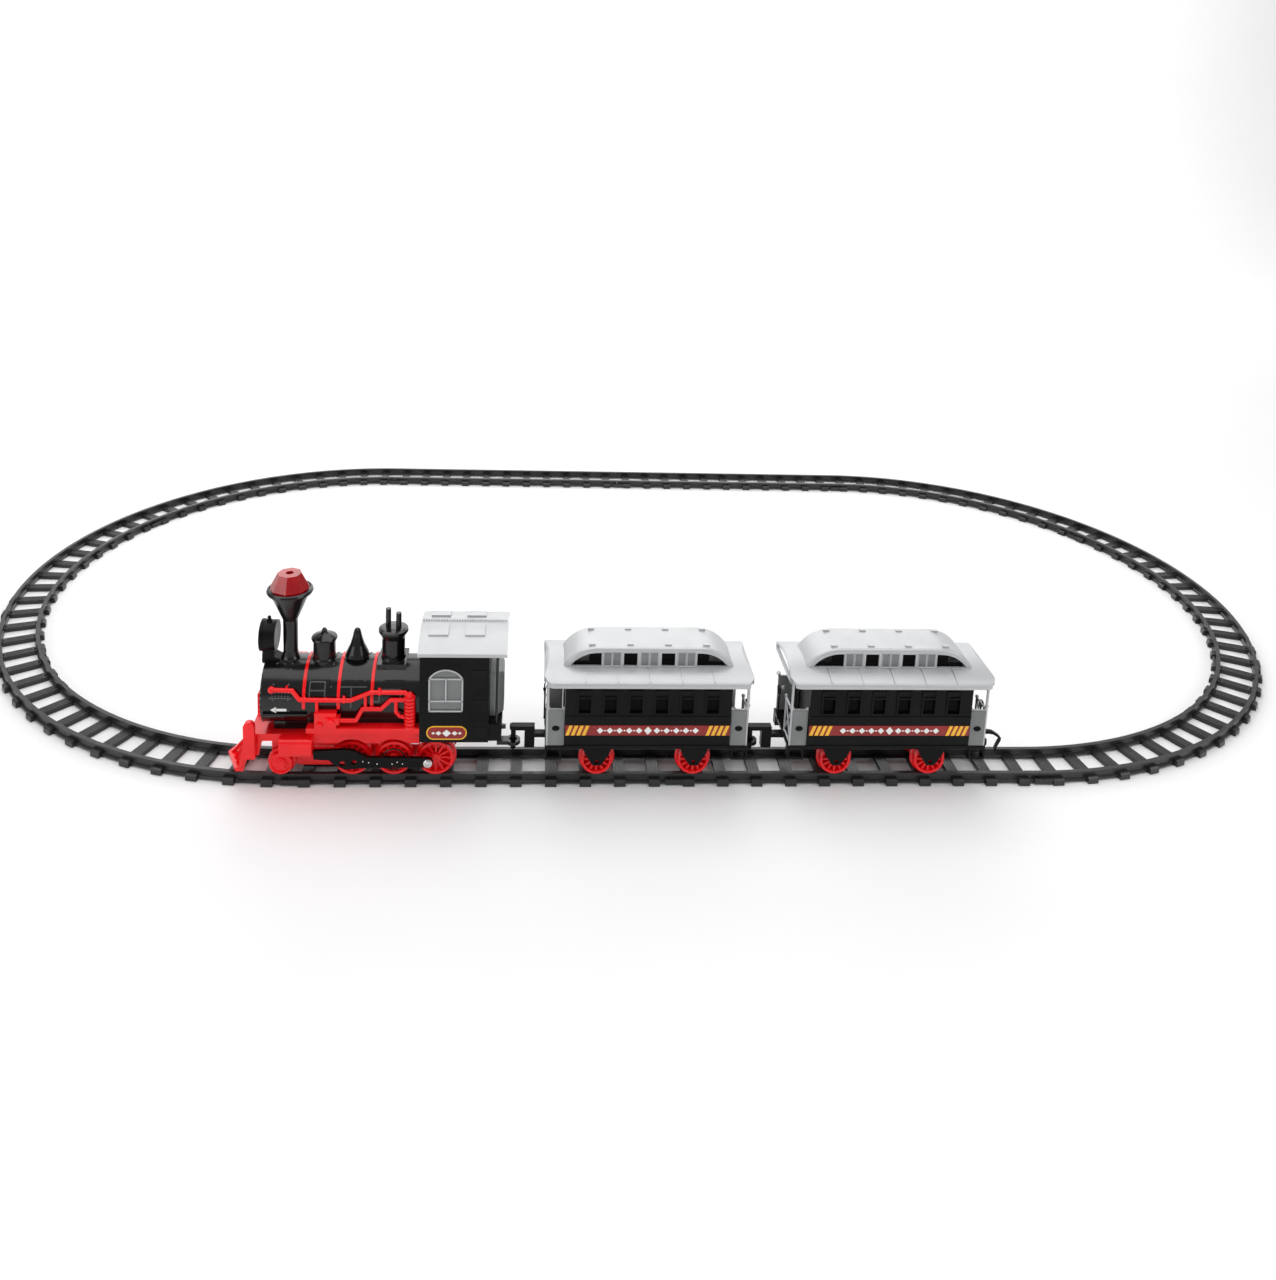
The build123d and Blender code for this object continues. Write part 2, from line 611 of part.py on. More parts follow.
def cowcatcher():
    """Front beam, deck up to the smokebox, two end lugs and the slatted plough."""
    beam_x0, beam_x1 = pilot_axle_x - 27.0, pilot_axle_x - 18.0
    beam_z0, beam_z1 = rail_top + 17.0, rail_top + 27.0
    half = sleeper_length / 2 + 3.0
    beam = block(beam_x0, beam_x1, -half, half, beam_z0, beam_z1)
    deck_half = half - 6.0
    deck = block(beam_x0 + 4, pilot_axle_x + 0.7, -deck_half, deck_half, deck_z - 4.0, deck_z)
    brace = side_plate([(beam_x0 + 4, deck_z), (beam_x0 + 2, beam_z0), (beam_x1 + 1.5, beam_z0),
                        (beam_x1 + 4, deck_z - 6), (pilot_axle_x + 0.7, deck_z - 6), (pilot_axle_x + 0.7, deck_z)],
                       deck_half - 3, deck_half)
    solid = beam + deck + both_sides(brace)
    lug_r = (beam_x1 - beam_x0) / 2 - 0.3
    lug_x = (beam_x0 + beam_x1) / 2
    lug_top = beam_z1 + 21.0 - lug_r
    lug = side_plate([(lug_x - lug_r, beam_z1 - 1)] + arc_points(lug_x, lug_top, lug_r, 180, 0, 12)
                     + [(lug_x + lug_r, beam_z1 - 1)], half - 4.5, half)
    solid += both_sides(lug)
    tip = (train_front + 2.0, 0.0)
    corner = (beam_x0 - 6.0, half - 3.0)
    low_z = rail_top + 5.0
    solid += floor_plate([(train_front, 0), (corner[0] - 1, corner[1]), (corner[0] + 5, corner[1]),
                          (train_front + 8, 0), (corner[0] + 5, -corner[1]), (corner[0] - 1, -corner[1])],
                         low_z, low_z + 3.0)
    solid += bar((tip[0] + 1, 0, low_z + 1.5), (beam_x0 + 1, 0, beam_z1 - 1.5), 2.6, 2.6)
    slats = 3
    for side in (-1, 1):
        for i in range(1, slats + 1):
            share = i / slats
            foot = (tip[0] + 2 + (corner[0] - tip[0]) * share, side * corner[1] * share * 0.96, low_z + 1.5)
            head = (beam_x0 + 1, side * (half - 1.6) * share * 0.97, beam_z1 - 1.5)
            solid += bar(foot, head, 2.6, 2.6)
        solid += side_plate([(corner[0], low_z), (corner[0] + 5, low_z), (beam_x0 + 3, beam_z0 + 1),
                             (beam_x0, beam_z0 + 1)], *sorted((side * (corner[1] - 2.5), side * corner[1])))
    save("cowcatcher", solid)


# ---- locomotive body ------------------------------------------------------------------
def boiler():
    x0, x1 = boiler_front_x, cab_front_x
    fire_x0 = board_front_x
    outer = rod_x(x0, x1, 0, boiler_z, boiler_radius)
    outer += block(fire_x0, x1, -firebox_half_width, firebox_half_width, board_z, boiler_z)
    lower_seam = block(x0 + 2, fire_x0, -boiler_radius - 0.5, boiler_radius + 0.5, boiler_z - 9.5, boiler_z - 8.0)
    outer += lower_seam
    saddle = block(pilot_axle_x - 6, board_front_x, -12, 12, deck_z, boiler_z - 15)
    inner = rod_x(x0 + boiler_wall, x1 + 1, 0, boiler_z, boiler_radius - boiler_wall)
    inner += block(fire_x0 + boiler_wall, x1 + 1, -firebox_half_width + boiler_wall,
                   firebox_half_width - boiler_wall, board_z - 1, boiler_z)
    shell = outer + saddle - inner
    shell -= block(fire_x0 + 3, x1 + 1, -firebox_half_width + 3, firebox_half_width - 3,
                   boiler_z - boiler_radius - 1, board_z + 2)
    panel_rise = 0.5
    for start, width in ((38.5, 14.0), (62.4, 9.2), (73.0, 9.2), (94.0, 15.0)):
        x = x0 + start
        panel = rod_x(x, x + width, 0, boiler_z, boiler_radius + panel_rise)
        panel -= rod_x(x - 1, x + width + 1, 0, boiler_z, boiler_radius - 0.5)
        window = block(x - 1, x + width + 1, 15, boiler_radius + 2, boiler_z + 8.5, boiler_z + 17.0)
        shell += both_sides(panel & window)
    front = turned_x([(0, x0 - 1.6), (12, x0 - 1.2), (boiler_radius - 4, x0 - 0.6), (boiler_radius - 3, x0 + 1),
                      (0, x0 + 1)], 0, boiler_z)
    shell += front
    save("boiler_shell", shell)


def boiler_bands():
    bands = []
    for offset in band_offsets:
        x = boiler_front_x + offset
        ring = rod_x(x, x + band_width, 0, boiler_z, boiler_radius + band_height)
        ring -= rod_x(x - 1, x + band_width + 1, 0, boiler_z, boiler_radius)
        ring -= block(x - 1, x + band_width + 1, -40, 40, boiler_z - 60, boiler_z - 3.5)
        bands.append(ring)
    save("boiler_bands", *bands)


def on_boiler(solid):
    """Cut a piece to sit on the boiler's round top."""
    return solid - rod_x(boiler_front_x - 30, cab_front_x, 0, boiler_z, boiler_radius)


def chimney():
    base = boiler_top_z - 3.0
    shaft, rim = 5.6, 17.2
    shaft_top = boiler_top_z + 32.0
    rim_z = boiler_top_z + 54.0
    stack = turned_z([(0, base), (7.4, base), (7.3, boiler_top_z + 0.6), (6.3, boiler_top_z + 2.6),
                      (shaft, boiler_top_z + 6), (shaft, shaft_top), (rim - 2.2, rim_z), (rim, rim_z + 0.6),
                      (rim + 0.6, rim_z + 2.0), (rim, rim_z + 3.4), (rim - 1.4, rim_z + 3.8),
                      (rim - 1.9, rim_z + 3.0), (0, rim_z + 3.0)], chimney_x, 0)
    save("chimney", on_boiler(stack))
    cap_base = rim_z + 3.0
    cap_height, cap_r, cap_top_r = 13.2, 15.2, 9.2
    sides = 8
    low = [(chimney_x + cap_r * cos(2 * pi * i / sides), cap_r * sin(2 * pi * i / sides), cap_base + 1.6)
           for i in range(sides)]
    high = [(chimney_x + cap_top_r * cos(2 * pi * i / sides), cap_top_r * sin(2 * pi * i / sides),
             cap_base + cap_height) for i in range(sides)]
    cap = loft([make_face(Polyline(*low, close=True)), make_face(Polyline(*high, close=True))], ruled=True)
    cap += rod_z(cap_base, cap_base + 1.7, chimney_x, 0, cap_r * 0.94)
    cap -= rod_z(cap_base + cap_height - 3, cap_base + cap_height + 1, chimney_x, 0, 3.0)
    save("smoke_cap", cap)


def domes():
    base = boiler_top_z - 3.0
    r = 8.6
    top = boiler_top_z + 15.0
    sand = turned_z([(0, base), (r + 0.8, base), (r + 0.7, boiler_top_z), (r, boiler_top_z + 1.6), (r, top),
                     (r + 1.2, top + 0.6), (r + 1.4, top + 1.8), (r + 0.8, top + 2.8), (r - 2.2, top + 4.2),
                     (3.4, top + 5.4), (2.0, top + 6.4), (2.3, top + 7.6), (1.2, top + 9.4), (0, top + 9.8)],
                    sand_dome_x, 0)
    save("sand_dome", on_boiler(sand))
    b = 9.3
    z = boiler_top_z
    bell = turned_z([(0, base), (b - 2.6, base), (b - 0.8, z + 0.4), (b, z + 2.4), (b - 0.7, z + 5.0),
                     (b - 3.6, z + 11.2), (b - 5.5, z + 17.2), (b - 6.5, z + 21.8), (b - 7.1, z + 23.6),
                     (b - 8.1, z + 24.5), (0, z + 24.8)], bell_dome_x, 0)
    save("bell_dome", on_boiler(bell))
    s = 9.0
    steam = turned_z([(0, base), (s + 1.6, base), (s + 0.8, z + 0.6), (s - 0.2, z + 3.0), (s, z + 6.0),
                      (s, z + 18.0), (s + 1.2, z + 20.5), (s + 2.6, z + 23.0), (s + 2.4, z + 24.8),
                      (s, z + 25.6), (4.0, z + 26.0), (0, z + 26.0)], steam_dome_x, 0)
    saddle = block(steam_dome_x - 11.2, steam_dome_x + 11.0, -13.0, 13.0, boiler_z + 21.6, z + 0.8)
    whistle = 2.1
    steam += rod_z(z + 24, z + 40.5, steam_dome_x - 4.2, 1.5, whistle)
    steam += rod_z(z + 24, z + 38.5, steam_dome_x + 4.2, -1.5, whistle)
    save("steam_dome", on_boiler(steam + saddle))


def headlamp():
    x0 = boiler_front_x - 3.6
    x1 = x0 + lamp_length
    drum = rod_x(x0, x1, 0, lamp_z, lamp_radius)
    drum += rod_x(x0, x0 + 2.2, 0, lamp_z, lamp_radius + 0.7)
    drum -= rod_x(x0 - 1, x1 - 3, 0, lamp_z, lamp_radius - 1.6)
    foot = side_plate([(x0 + 1.5, lamp_z - lamp_radius + 2), (x0 + 1.0, boiler_top_z - 1.0),
                       (x0 + 4.2, boiler_top_z - 9.0), (x0 + 14.5, boiler_top_z - 9.0),
                       (x0 + 14.5, boiler_top_z + 0.5), (x1 - 1.5, boiler_top_z + 3.0),
                       (x1 - 1.5, lamp_z - lamp_radius + 2)], -5.5, 5.5)
    front_room = rod_x(x0 - 1, x1 - 3, 0, lamp_z, lamp_radius - 1.6)
    finial = turned_z([(0, lamp_z + lamp_radius - 0.6), (2.4, lamp_z + lamp_radius - 0.6),
                       (2.0, lamp_z + lamp_radius + 1.2), (1.0, lamp_z + lamp_radius + 1.8),
                       (1.6, lamp_z + lamp_radius + 3.0), (0.8, lamp_z + lamp_radius + 4.2),
                       (0, lamp_z + lamp_radius + 4.4)], (x0 + x1) / 2, 0)
    lamp = drum + foot - front_room + finial
    boiler_room = rod_x(boiler_front_x, cab_front_x, 0, boiler_z, boiler_radius)
    boiler_room += block(boiler_front_x - 2, boiler_front_x + 1, -8, 8, boiler_z - 10, boiler_z + boiler_radius - 2.6)
    save("headlamp", lamp - boiler_room)
    lens_r = lamp_radius - 1.6
    lens = turned_x([(0, x0 - 0.4), (lens_r * 0.6, x0 - 0.1), (lens_r, x0 + 1.0), (lens_r, x0 + 2.2),
                     (0, x0 + 2.2)], 0, lamp_z)
    bulb = turned_x([(0, x0 + 4.0), (2.0, x0 + 4.6), (2.5, x0 + 6.0), (2.5, x1 - 3.0), (0, x1 - 3.0)], 0, lamp_z)
    save("headlamp_lens", lens)
    save("headlamp_bulb", bulb)


def side_pipework():
    """Moulded red insert: two stepped pipes, links, steam pump and compressor box."""
    x0 = boiler_front_x
    y = pipe_y
    z = boiler_z
    pump_x = x0 + 114.0
    pump_low, pump_high = board_z, z + 9.0
    ribs = 9
    step = (pump_high - pump_low) / ribs
    solid = rod_z(pump_low, pump_high, pump_x, y, 3.3)
    for i in range(ribs):
        solid += rod_z(pump_low + step * i + 0.1, pump_low + step * (i + 0.65), pump_x, y, 4.3)
    solid += turned_z([(0, pump_high - 0.1), (3.0, pump_high - 0.1), (3.0, pump_high + 0.8),
                       (1.6, pump_high + 2.4), (0, pump_high + 2.8)], pump_x, y)
    upper = [(x0 + 9.5, z + 13.2), (x0 + 25, z + 12.6), (x0 + 30.5, z + 5.0), (x0 + 69, z + 4.6),
             (x0 + 84.5, z + 11.4), (x0 + 110.5, z + 11.4), (x0 + 113.2, z + 8.4)]
    lower = [(x0 + 56, z - 12.0), (x0 + 73, z - 12.2), (x0 + 78, z - 2.4), (x0 + 92, z - 2.4),
             (x0 + 99.5, z + 5.2), (x0 + 111.5, z + 5.2)]
    solid += wire([(a, y, b) for a, b in upper], pipe_radius)
    solid += wire([(a, y, b) for a, b in lower], pipe_radius)
    solid += wire([(x0 + 103.5, y, z + 5.2), (x0 + 103.5, y, z - 5.0), (x0 + 106.5, y, z - 8.5),
                   (x0 + 111.5, y, z - 9.5)], 1.5)
    solid += rod_z(z - 6, z + 4.8, x0 + 43.5, y, 1.3)
    solid += rod_z(z - 2.4, z + 9.0, x0 + 80.2, y, 1.3)
    box_x0 = x0 + 42.0
    solid += block(box_x0, box_x0 + 16.5, firebox_half_width, y + 3.2, board_z, z - 4.4)
    solid += block(box_x0 + 8.0, box_x0 + 19.0, firebox_half_width, y + 4.4, board_z + 4.0, z - 8.0)
    solid += rod_y(y, y + 5.6, box_x0 + 12.5, z - 11.5, 3.0)
    solid += rod_y(y, y + 5.0, box_x0 + 4.0, z - 14.5, 2.2)
    solid += Pos(x0 + 9.5, y, z + 13.2) * Sphere(2.7)
    for a, b in ((x0 + 34, z + 5.0), (x0 + 64, z + 4.8), (x0 + 91, z + 11.4)):
        solid += Pos(a, y, b) * Sphere(2.3)
        solid += rod_z(b, b + 3.4, a, y, 1.0)
    for a, b in ((x0 + 20, z + 12.8), (x0 + 50, z + 4.8), (x0 + 90, z + 11.4)):
        reach = sqrt(boiler_radius ** 2 - (b - z) ** 2)
        solid += rod_y(reach - 0.4, y, a, b, 1.0)
    solid -= rod_x(x0 - 1, cab_front_x + 1, 0, z, boiler_radius)
    for offset in band_offsets:
        solid -= rod_x(x0 + offset - 0.2, x0 + offset + band_width + 0.2, 0, z, boiler_radius + band_height + 0.1)
    save("left_pipework", mirror(solid, about=Plane.XZ))
    save("right_pipework", solid)


def cab():
    x0, x1 = cab_front_x, cab_back_x
    shell = block(x0, x1, -cab_half_width, cab_half_width, cab_bottom_z, cab_top_z)
    shell += block(x1 - 1, platform_back_x, -cab_half_width + 2, cab_half_width - 2, cab_bottom_z,
                   cab_bottom_z + platform_height)
    shell -= block(x0 + cab_wall, x1 - cab_wall, -cab_half_width + cab_wall, cab_half_width - cab_wall,
                   cab_bottom_z + cab_wall, cab_top_z + 1)
    shell -= block(x0 - 1, x0 + cab_wall + 1, -14, 14, boiler_z - 14, boiler_z + 14)
    door_half = door_width / 2 - 3.0
    shell -= block(x1 - cab_wall - 1, x1 + 1, -door_half, door_half, cab_bottom_z + platform_height + 1.0,
                   cab_bottom_z + platform_height + door_height - 6.0)
    window_x = x0 + 7.0
    window_z = cab_bottom_z + 26.0
    wall = [(window_x, window_z), (window_x + window_width, window_z)]
    arc_rise = 7.5
    arc_r = ((window_width / 2) ** 2 + arc_rise ** 2) / (2 * arc_rise)
    half = degrees(asin(window_width / 2 / arc_r))
    centre_z = window_z + window_height - arc_r
    outline = wall + arc_points(window_x + window_width / 2, centre_z, arc_r, 90 - half, 90 + half, 12)
    shell -= side_plate(outline, -cab_half_width - 1, cab_half_width + 1)
    shell -= block(x0 - 1, motor_x + motor_radius + 1.5, -firebox_half_width + 3, firebox_half_width - 3,
                   cab_bottom_z - 1, motor_z + motor_radius + 1)
    shell -= block(x0 + 1, rear_driver_x + 8, gear_y - 1.5, small_gear_y + gear_face + 1.5,
                   cab_bottom_z - 1, cab_bottom_z + cab_wall + 1)
    switch_room = block(platform_back_x - 4.0, platform_back_x + 1, -22.0, -13.0,
                        cab_bottom_z + 3.0, cab_bottom_z + 11.0)
    shell -= switch_room
    door_top = cab_bottom_z + platform_height + 0.5 + door_height
    hinge_x, hinge_y = cab_back_x + hinge_stand, door_width / 2
    shell += rod_z(cab_bottom_z + platform_height - 1, door_top + 2.0, hinge_x, hinge_y, hinge_pin_radius)
    shell += block(cab_back_x - 0.5, hinge_x + 1.2, hinge_y - 1.2, hinge_y + 1.2, door_top + 0.4, door_top + 2.4)
    save("cab_shell", shell)

    pane = side_plate(outline, cab_half_width - cab_wall, cab_half_width - 0.5)
    middle_x = window_x + window_width / 2
    low, high = window_z + 7.5, window_z + window_height - arc_rise
    frame_y = cab_half_width + 0.3
    bars = block(middle_x - 0.9, middle_x + 0.9, cab_half_width - 1, frame_y, low, high)
    bars += block(window_x, window_x + window_width, cab_half_width - 1, frame_y, low - 0.8, low + 0.8)
    bars += block(window_x, window_x + window_width, cab_half_width - 1, frame_y, high - 0.8, high + 0.8)
    bars = bars & side_plate(outline, cab_half_width - 1, frame_y)
    rim = side_plate(outline, cab_half_width - 1, frame_y)
    inset = [(window_x + 1.5, window_z + 1.5), (window_x + window_width - 1.5, window_z + 1.5)]
    inset += arc_points(middle_x, centre_z, arc_r - 1.5, 90 - half + 2.5, 90 + half - 2.5, 12)
    rim -= side_plate(inset, cab_half_width - 2, frame_y + 1)
    window = pane + bars + rim
    save("cab_windows", window, mirror(window, about=Plane.XZ))


def cab_roof():
    x0 = cab_front_x - 1.5
    x1 = x0 + cab_roof_length
    top = arch_points(cab_roof_half_width, cab_roof_rise, cab_top_z)
    under = arch_points(cab_roof_half_width - 1.5, cab_roof_rise - roof_thickness + 0.2, cab_top_z)
    roof = cross_section(top + list(reversed(under)), x0, x1)
    lip = block(x0, x1, cab_roof_half_width - 1.6, cab_roof_half_width, cab_top_z - 2.0, cab_top_z + 0.6)
    roof += both_sides(lip)
    hatch_y = 12.5
    base = cab_top_z + arch_height(hatch_y + 7, cab_roof_half_width, cab_roof_rise)
    for x in (x0 + 7.0, x0 + 35.0):
        hatch = block(x, x + 15, hatch_y - 6, hatch_y + 7, base - 1.5, base + 5.2)
        above = cross_section(arch_points(cab_roof_half_width, cab_roof_rise, cab_top_z + 1.4)
                              + [(-cab_roof_half_width, cab_top_z - 3), (cab_roof_half_width, cab_top_z - 3)], x0, x1)
        roof += both_sides((hatch & above) - cross_section(under + [(-cab_roof_half_width + 1.5, cab_top_z - 9),
                                                                    (cab_roof_half_width - 1.5, cab_top_z - 9)],
                                                           x0 - 1, x1 + 1))
    for offset in (5.0, 33.0, 60.0):
        seam = block(x0 + offset, x0 + offset + 0.8, cab_roof_half_width - 9, cab_roof_half_width + 0.2,
                     cab_top_z - 2.0, cab_top_z + 8)
        above = cross_section(arch_points(cab_roof_half_width + 0.2, cab_roof_rise + 0.4, cab_top_z)
                              + list(reversed(under)), x0, x1)
        roof += both_sides(seam & above)
    post_x = cab_back_x + 6.0
    post = rod_z(cab_bottom_z + platform_height, cab_top_z + 1.0, post_x, cab_half_width - 4.0, 1.0)
    save("cab_roof", roof)
    save("cab_posts", post, mirror(post, about=Plane.XZ))


def battery_compartment():
    x1 = cab_back_x - cab_wall - 0.6
    floor = cab_bottom_z + cab_wall
    cell = battery_radius + battery_gap
    x0 = x1 - 4 * cell - 3.0
    half = 2 * cell + 1.4
    height = battery_length + 4.0
    tray = block(x0, x1, -half, half, floor, floor + height)
    tray -= block(x0 + 1.4, x1 + 1, -half + 1.4, half - 1.4, floor + 1.4, floor + height - 1.4)
    save("battery_box", tray)
    cells = []
    for row in (0, 1):
        for side in (-1, 1):
            x = x0 + 1.6 + cell + 2 * cell * row
            y = side * cell
            low = floor + 1.4 + 0.6
            body = rod_z(low, low + battery_length - 1.4, x, y, battery_radius)
            cells.append(body + rod_z(low + battery_length - 1.6, low + battery_length, x, y, 2.7))
    save("batteries", *cells)
    door_x = cab_back_x
    low = cab_bottom_z + platform_height + 0.5
    half_w = door_width / 2
    plan = [(door_x + 0.3, -half_w), (door_x + 3.5, -half_w), (door_x + 7.5, -half_w + 3.0),
            (door_x + door_bulge, -half_w + 8.0), (door_x + door_bulge, half_w - 8.0),
            (door_x + 7.5, half_w - 3.0), (door_x + 3.5, half_w), (door_x + 0.3, half_w)]
    door = floor_plate(plan, low, low + door_height)
    door = fillet(door.edges().filter_by(Axis.Y).group_by(Axis.Z)[-1].sort_by(Axis.X)[-1], 5.0)
    hollow = floor_plate([(door_x - 1, -half_w + 2.5), (door_x + 3.5, -half_w + 2.5),
                          (door_x + door_bulge - 2, -half_w + 10), (door_x + door_bulge - 2, half_w - 10),
                          (door_x + 3.5, half_w - 2.5), (door_x - 1, half_w - 2.5)], low + 2, low + door_height - 6)
    knuckle = rod_z(low, low + door_height, door_x + hinge_stand, half_w, hinge_knuckle_radius)
    bore = rod_z(low - 1, low + door_height + 1, door_x + hinge_stand, half_w, hinge_pin_radius + hinge_clearance)
    save("battery_door", door - hollow + knuckle - bore)
    switch_x = platform_back_x - 3.4
    switch = block(switch_x, platform_back_x - 0.4, -20.2, -14.8, cab_bottom_z + 4.0, cab_bottom_z + 8.0)
    lever = side_plate([(platform_back_x - 0.6, cab_bottom_z + 4.2), (platform_back_x + 3.2, cab_bottom_z + 4.6),
                        (platform_back_x + 3.2, cab_bottom_z + 7.4), (platform_back_x - 0.6, cab_bottom_z + 7.8)],
                       -18.6, -16.4)
    save("power_switch", switch + lever)
    board_x = cab_front_x + cab_wall + 0.4
    card = block(board_x, board_x + 1.6, -22, 22, boiler_z + 16, cab_top_z - 6)
    card += block(board_x + 1.5, board_x + 4.0, -9, -1, boiler_z + 22, boiler_z + 30)
    card += rod_x(board_x + 1.5, board_x + 7.5, 12, boiler_z + 27, 4.0)
    save("circuit_board", card)


def couplers_and_screws():
    x = first_coach_x - coach_pin_ahead
    save("loco_coupler", eye_plate(x, platform_back_x - 4.0, cab_bottom_z))
    plate_z = frame_bottom_z
    cover_x0, cover_x1 = pilot_axle_x + 16.0, rear_driver_x + 9.0
    cover = block(cover_x0, cover_x1, -frame_half_width + frame_wall, frame_half_width - frame_wall,
                  plate_z - 1.6, plate_z)
    cover += block(cover_x0, cover_x1, -frame_half_width, frame_half_width, plate_z - 1.6, plate_z - 0.0)
    save("bottom_cover", cover)
    screws = []
    for sx in (cover_x0 + 5.0, cover_x1 - 5.0):
        screws.append(turned_z([(0, plate_z - 1.6), (0, plate_z - 3.0), (1.6, plate_z - 2.9), (2.4, plate_z - 2.2),
                                (2.4, plate_z - 1.6)], sx, 0))
    save("cover_screws", *screws)


def eye_plate(pin_at, root_x, root_top):
    """Flat eye that a drawbar pin drops into, on a tongue from the vehicle's end."""
    outer = eye_radius + eye_rim
    top = eye_z
    plate = rod_z(top - eye_thickness, top, pin_at, 0, outer)
    plate += block(root_x, pin_at, -drawbar_width / 2 - 1, drawbar_width / 2 + 1, top - eye_thickness, top)
    plate += block(root_x, root_x + 2.2, -drawbar_width / 2 - 1, drawbar_width / 2 + 1,
                   top - eye_thickness, root_top)
    return plate - rod_z(top - eye_thickness - 1, top + 1, pin_at, 0, eye_radius)


# ---- coaches --------------------------------------------------------------------------
def coach_body(x):
    half = coach_body_length / 2
    z0, z1 = coach_floor_z, coach_top_z
    w = coach_body_half_width
    shell = block(x - half, x + half, -w, w, z0, z1)
    shell -= block(x - half + coach_wall, x + half - coach_wall, -w + coach_wall, w - coach_wall,
                   z0 + coach_wall, z1 + 1)
    sill = z0 + coach_window_sill
    first = x - coach_window_pitch * (coach_windows - 1) / 2
    for i in range(coach_windows):
        wx = first + coach_window_pitch * i
        frame = block(wx - coach_window_width / 2 - 1.4, wx + coach_window_width / 2 + 1.4, -w - 0.8, w + 0.8,
                      sill - 1.4, sill + coach_window_height + 1.4)
        frame -= block(wx - 20, wx + 20, -w + 0.4, w - 0.4, z0, z1)
        shell += frame
        transom = sill + coach_window_height * 0.72
        shell -= block(wx - coach_window_width / 2, wx + coach_window_width / 2, -w - 2, w + 2,
                       sill, transom - 0.7)
        shell -= block(wx - coach_window_width / 2, wx + coach_window_width / 2, -w - 2, w + 2,
                       transom + 0.7, sill + coach_window_height)
    shell += both_sides(block(x - half, x + half, w - 0.3, w + 0.5, sill - 4.0, sill - 2.6))
    shell += both_sides(block(x - half, x + half, w - 0.3, w + 0.6, z0, z0 + 2.0))
    door_half, door_top = 7.0, z0 + 42.0
    for end in (-1, 1):
        shell -= block(*sorted((x + end * (half - 0.9), x + end * (half + 1))), -door_half, door_half,
                       z0 + 3, door_top)
    return shell


def vault_height(y, half_width, rise):
    """Height of half an ellipse over its springing."""
    return rise * sqrt(max(0.0, 1 - (y / half_width) ** 2))


def vault_points(half_width, rise, spring_z, steps=28):
    turn = [pi * i / steps for i in range(steps + 1)]
    return [(half_width * cos(a), spring_z + rise * sin(a)) for a in turn]


def clerestory_block(x, base, top, inset, y0, y1):
    """The raised roof seen from the side: flat on top, one arc down to the vault at each end."""
    half, flat = clerestory_length / 2, clerestory_length / 2 - clerestory_curve
    height = top - base
    radius = (clerestory_curve ** 2 + height ** 2) / (2 * height)
    r, centre = radius - inset, top - radius
    reach = flat + sqrt(r ** 2 - (base - centre) ** 2)
    turn = asin((reach - flat) / r)
    mid = (flat + r * sin(turn / 2), centre + r * cos(turn / 2))
    foot = Edge.make_line((x - reach, y0, base), (x + reach, y0, base))
    front = Edge.make_three_point_arc((x + reach, y0, base), (x + mid[0], y0, mid[1]), (x + flat, y0, top - inset))
    crest = Edge.make_line((x + flat, y0, top - inset), (x - flat, y0, top - inset))
    back = Edge.make_three_point_arc((x - flat, y0, top - inset), (x - mid[0], y0, mid[1]), (x - reach, y0, base))
    return extrude(Face(Wire([foot, front, crest, back])), amount=y1 - y0, dir=(0, 1, 0))


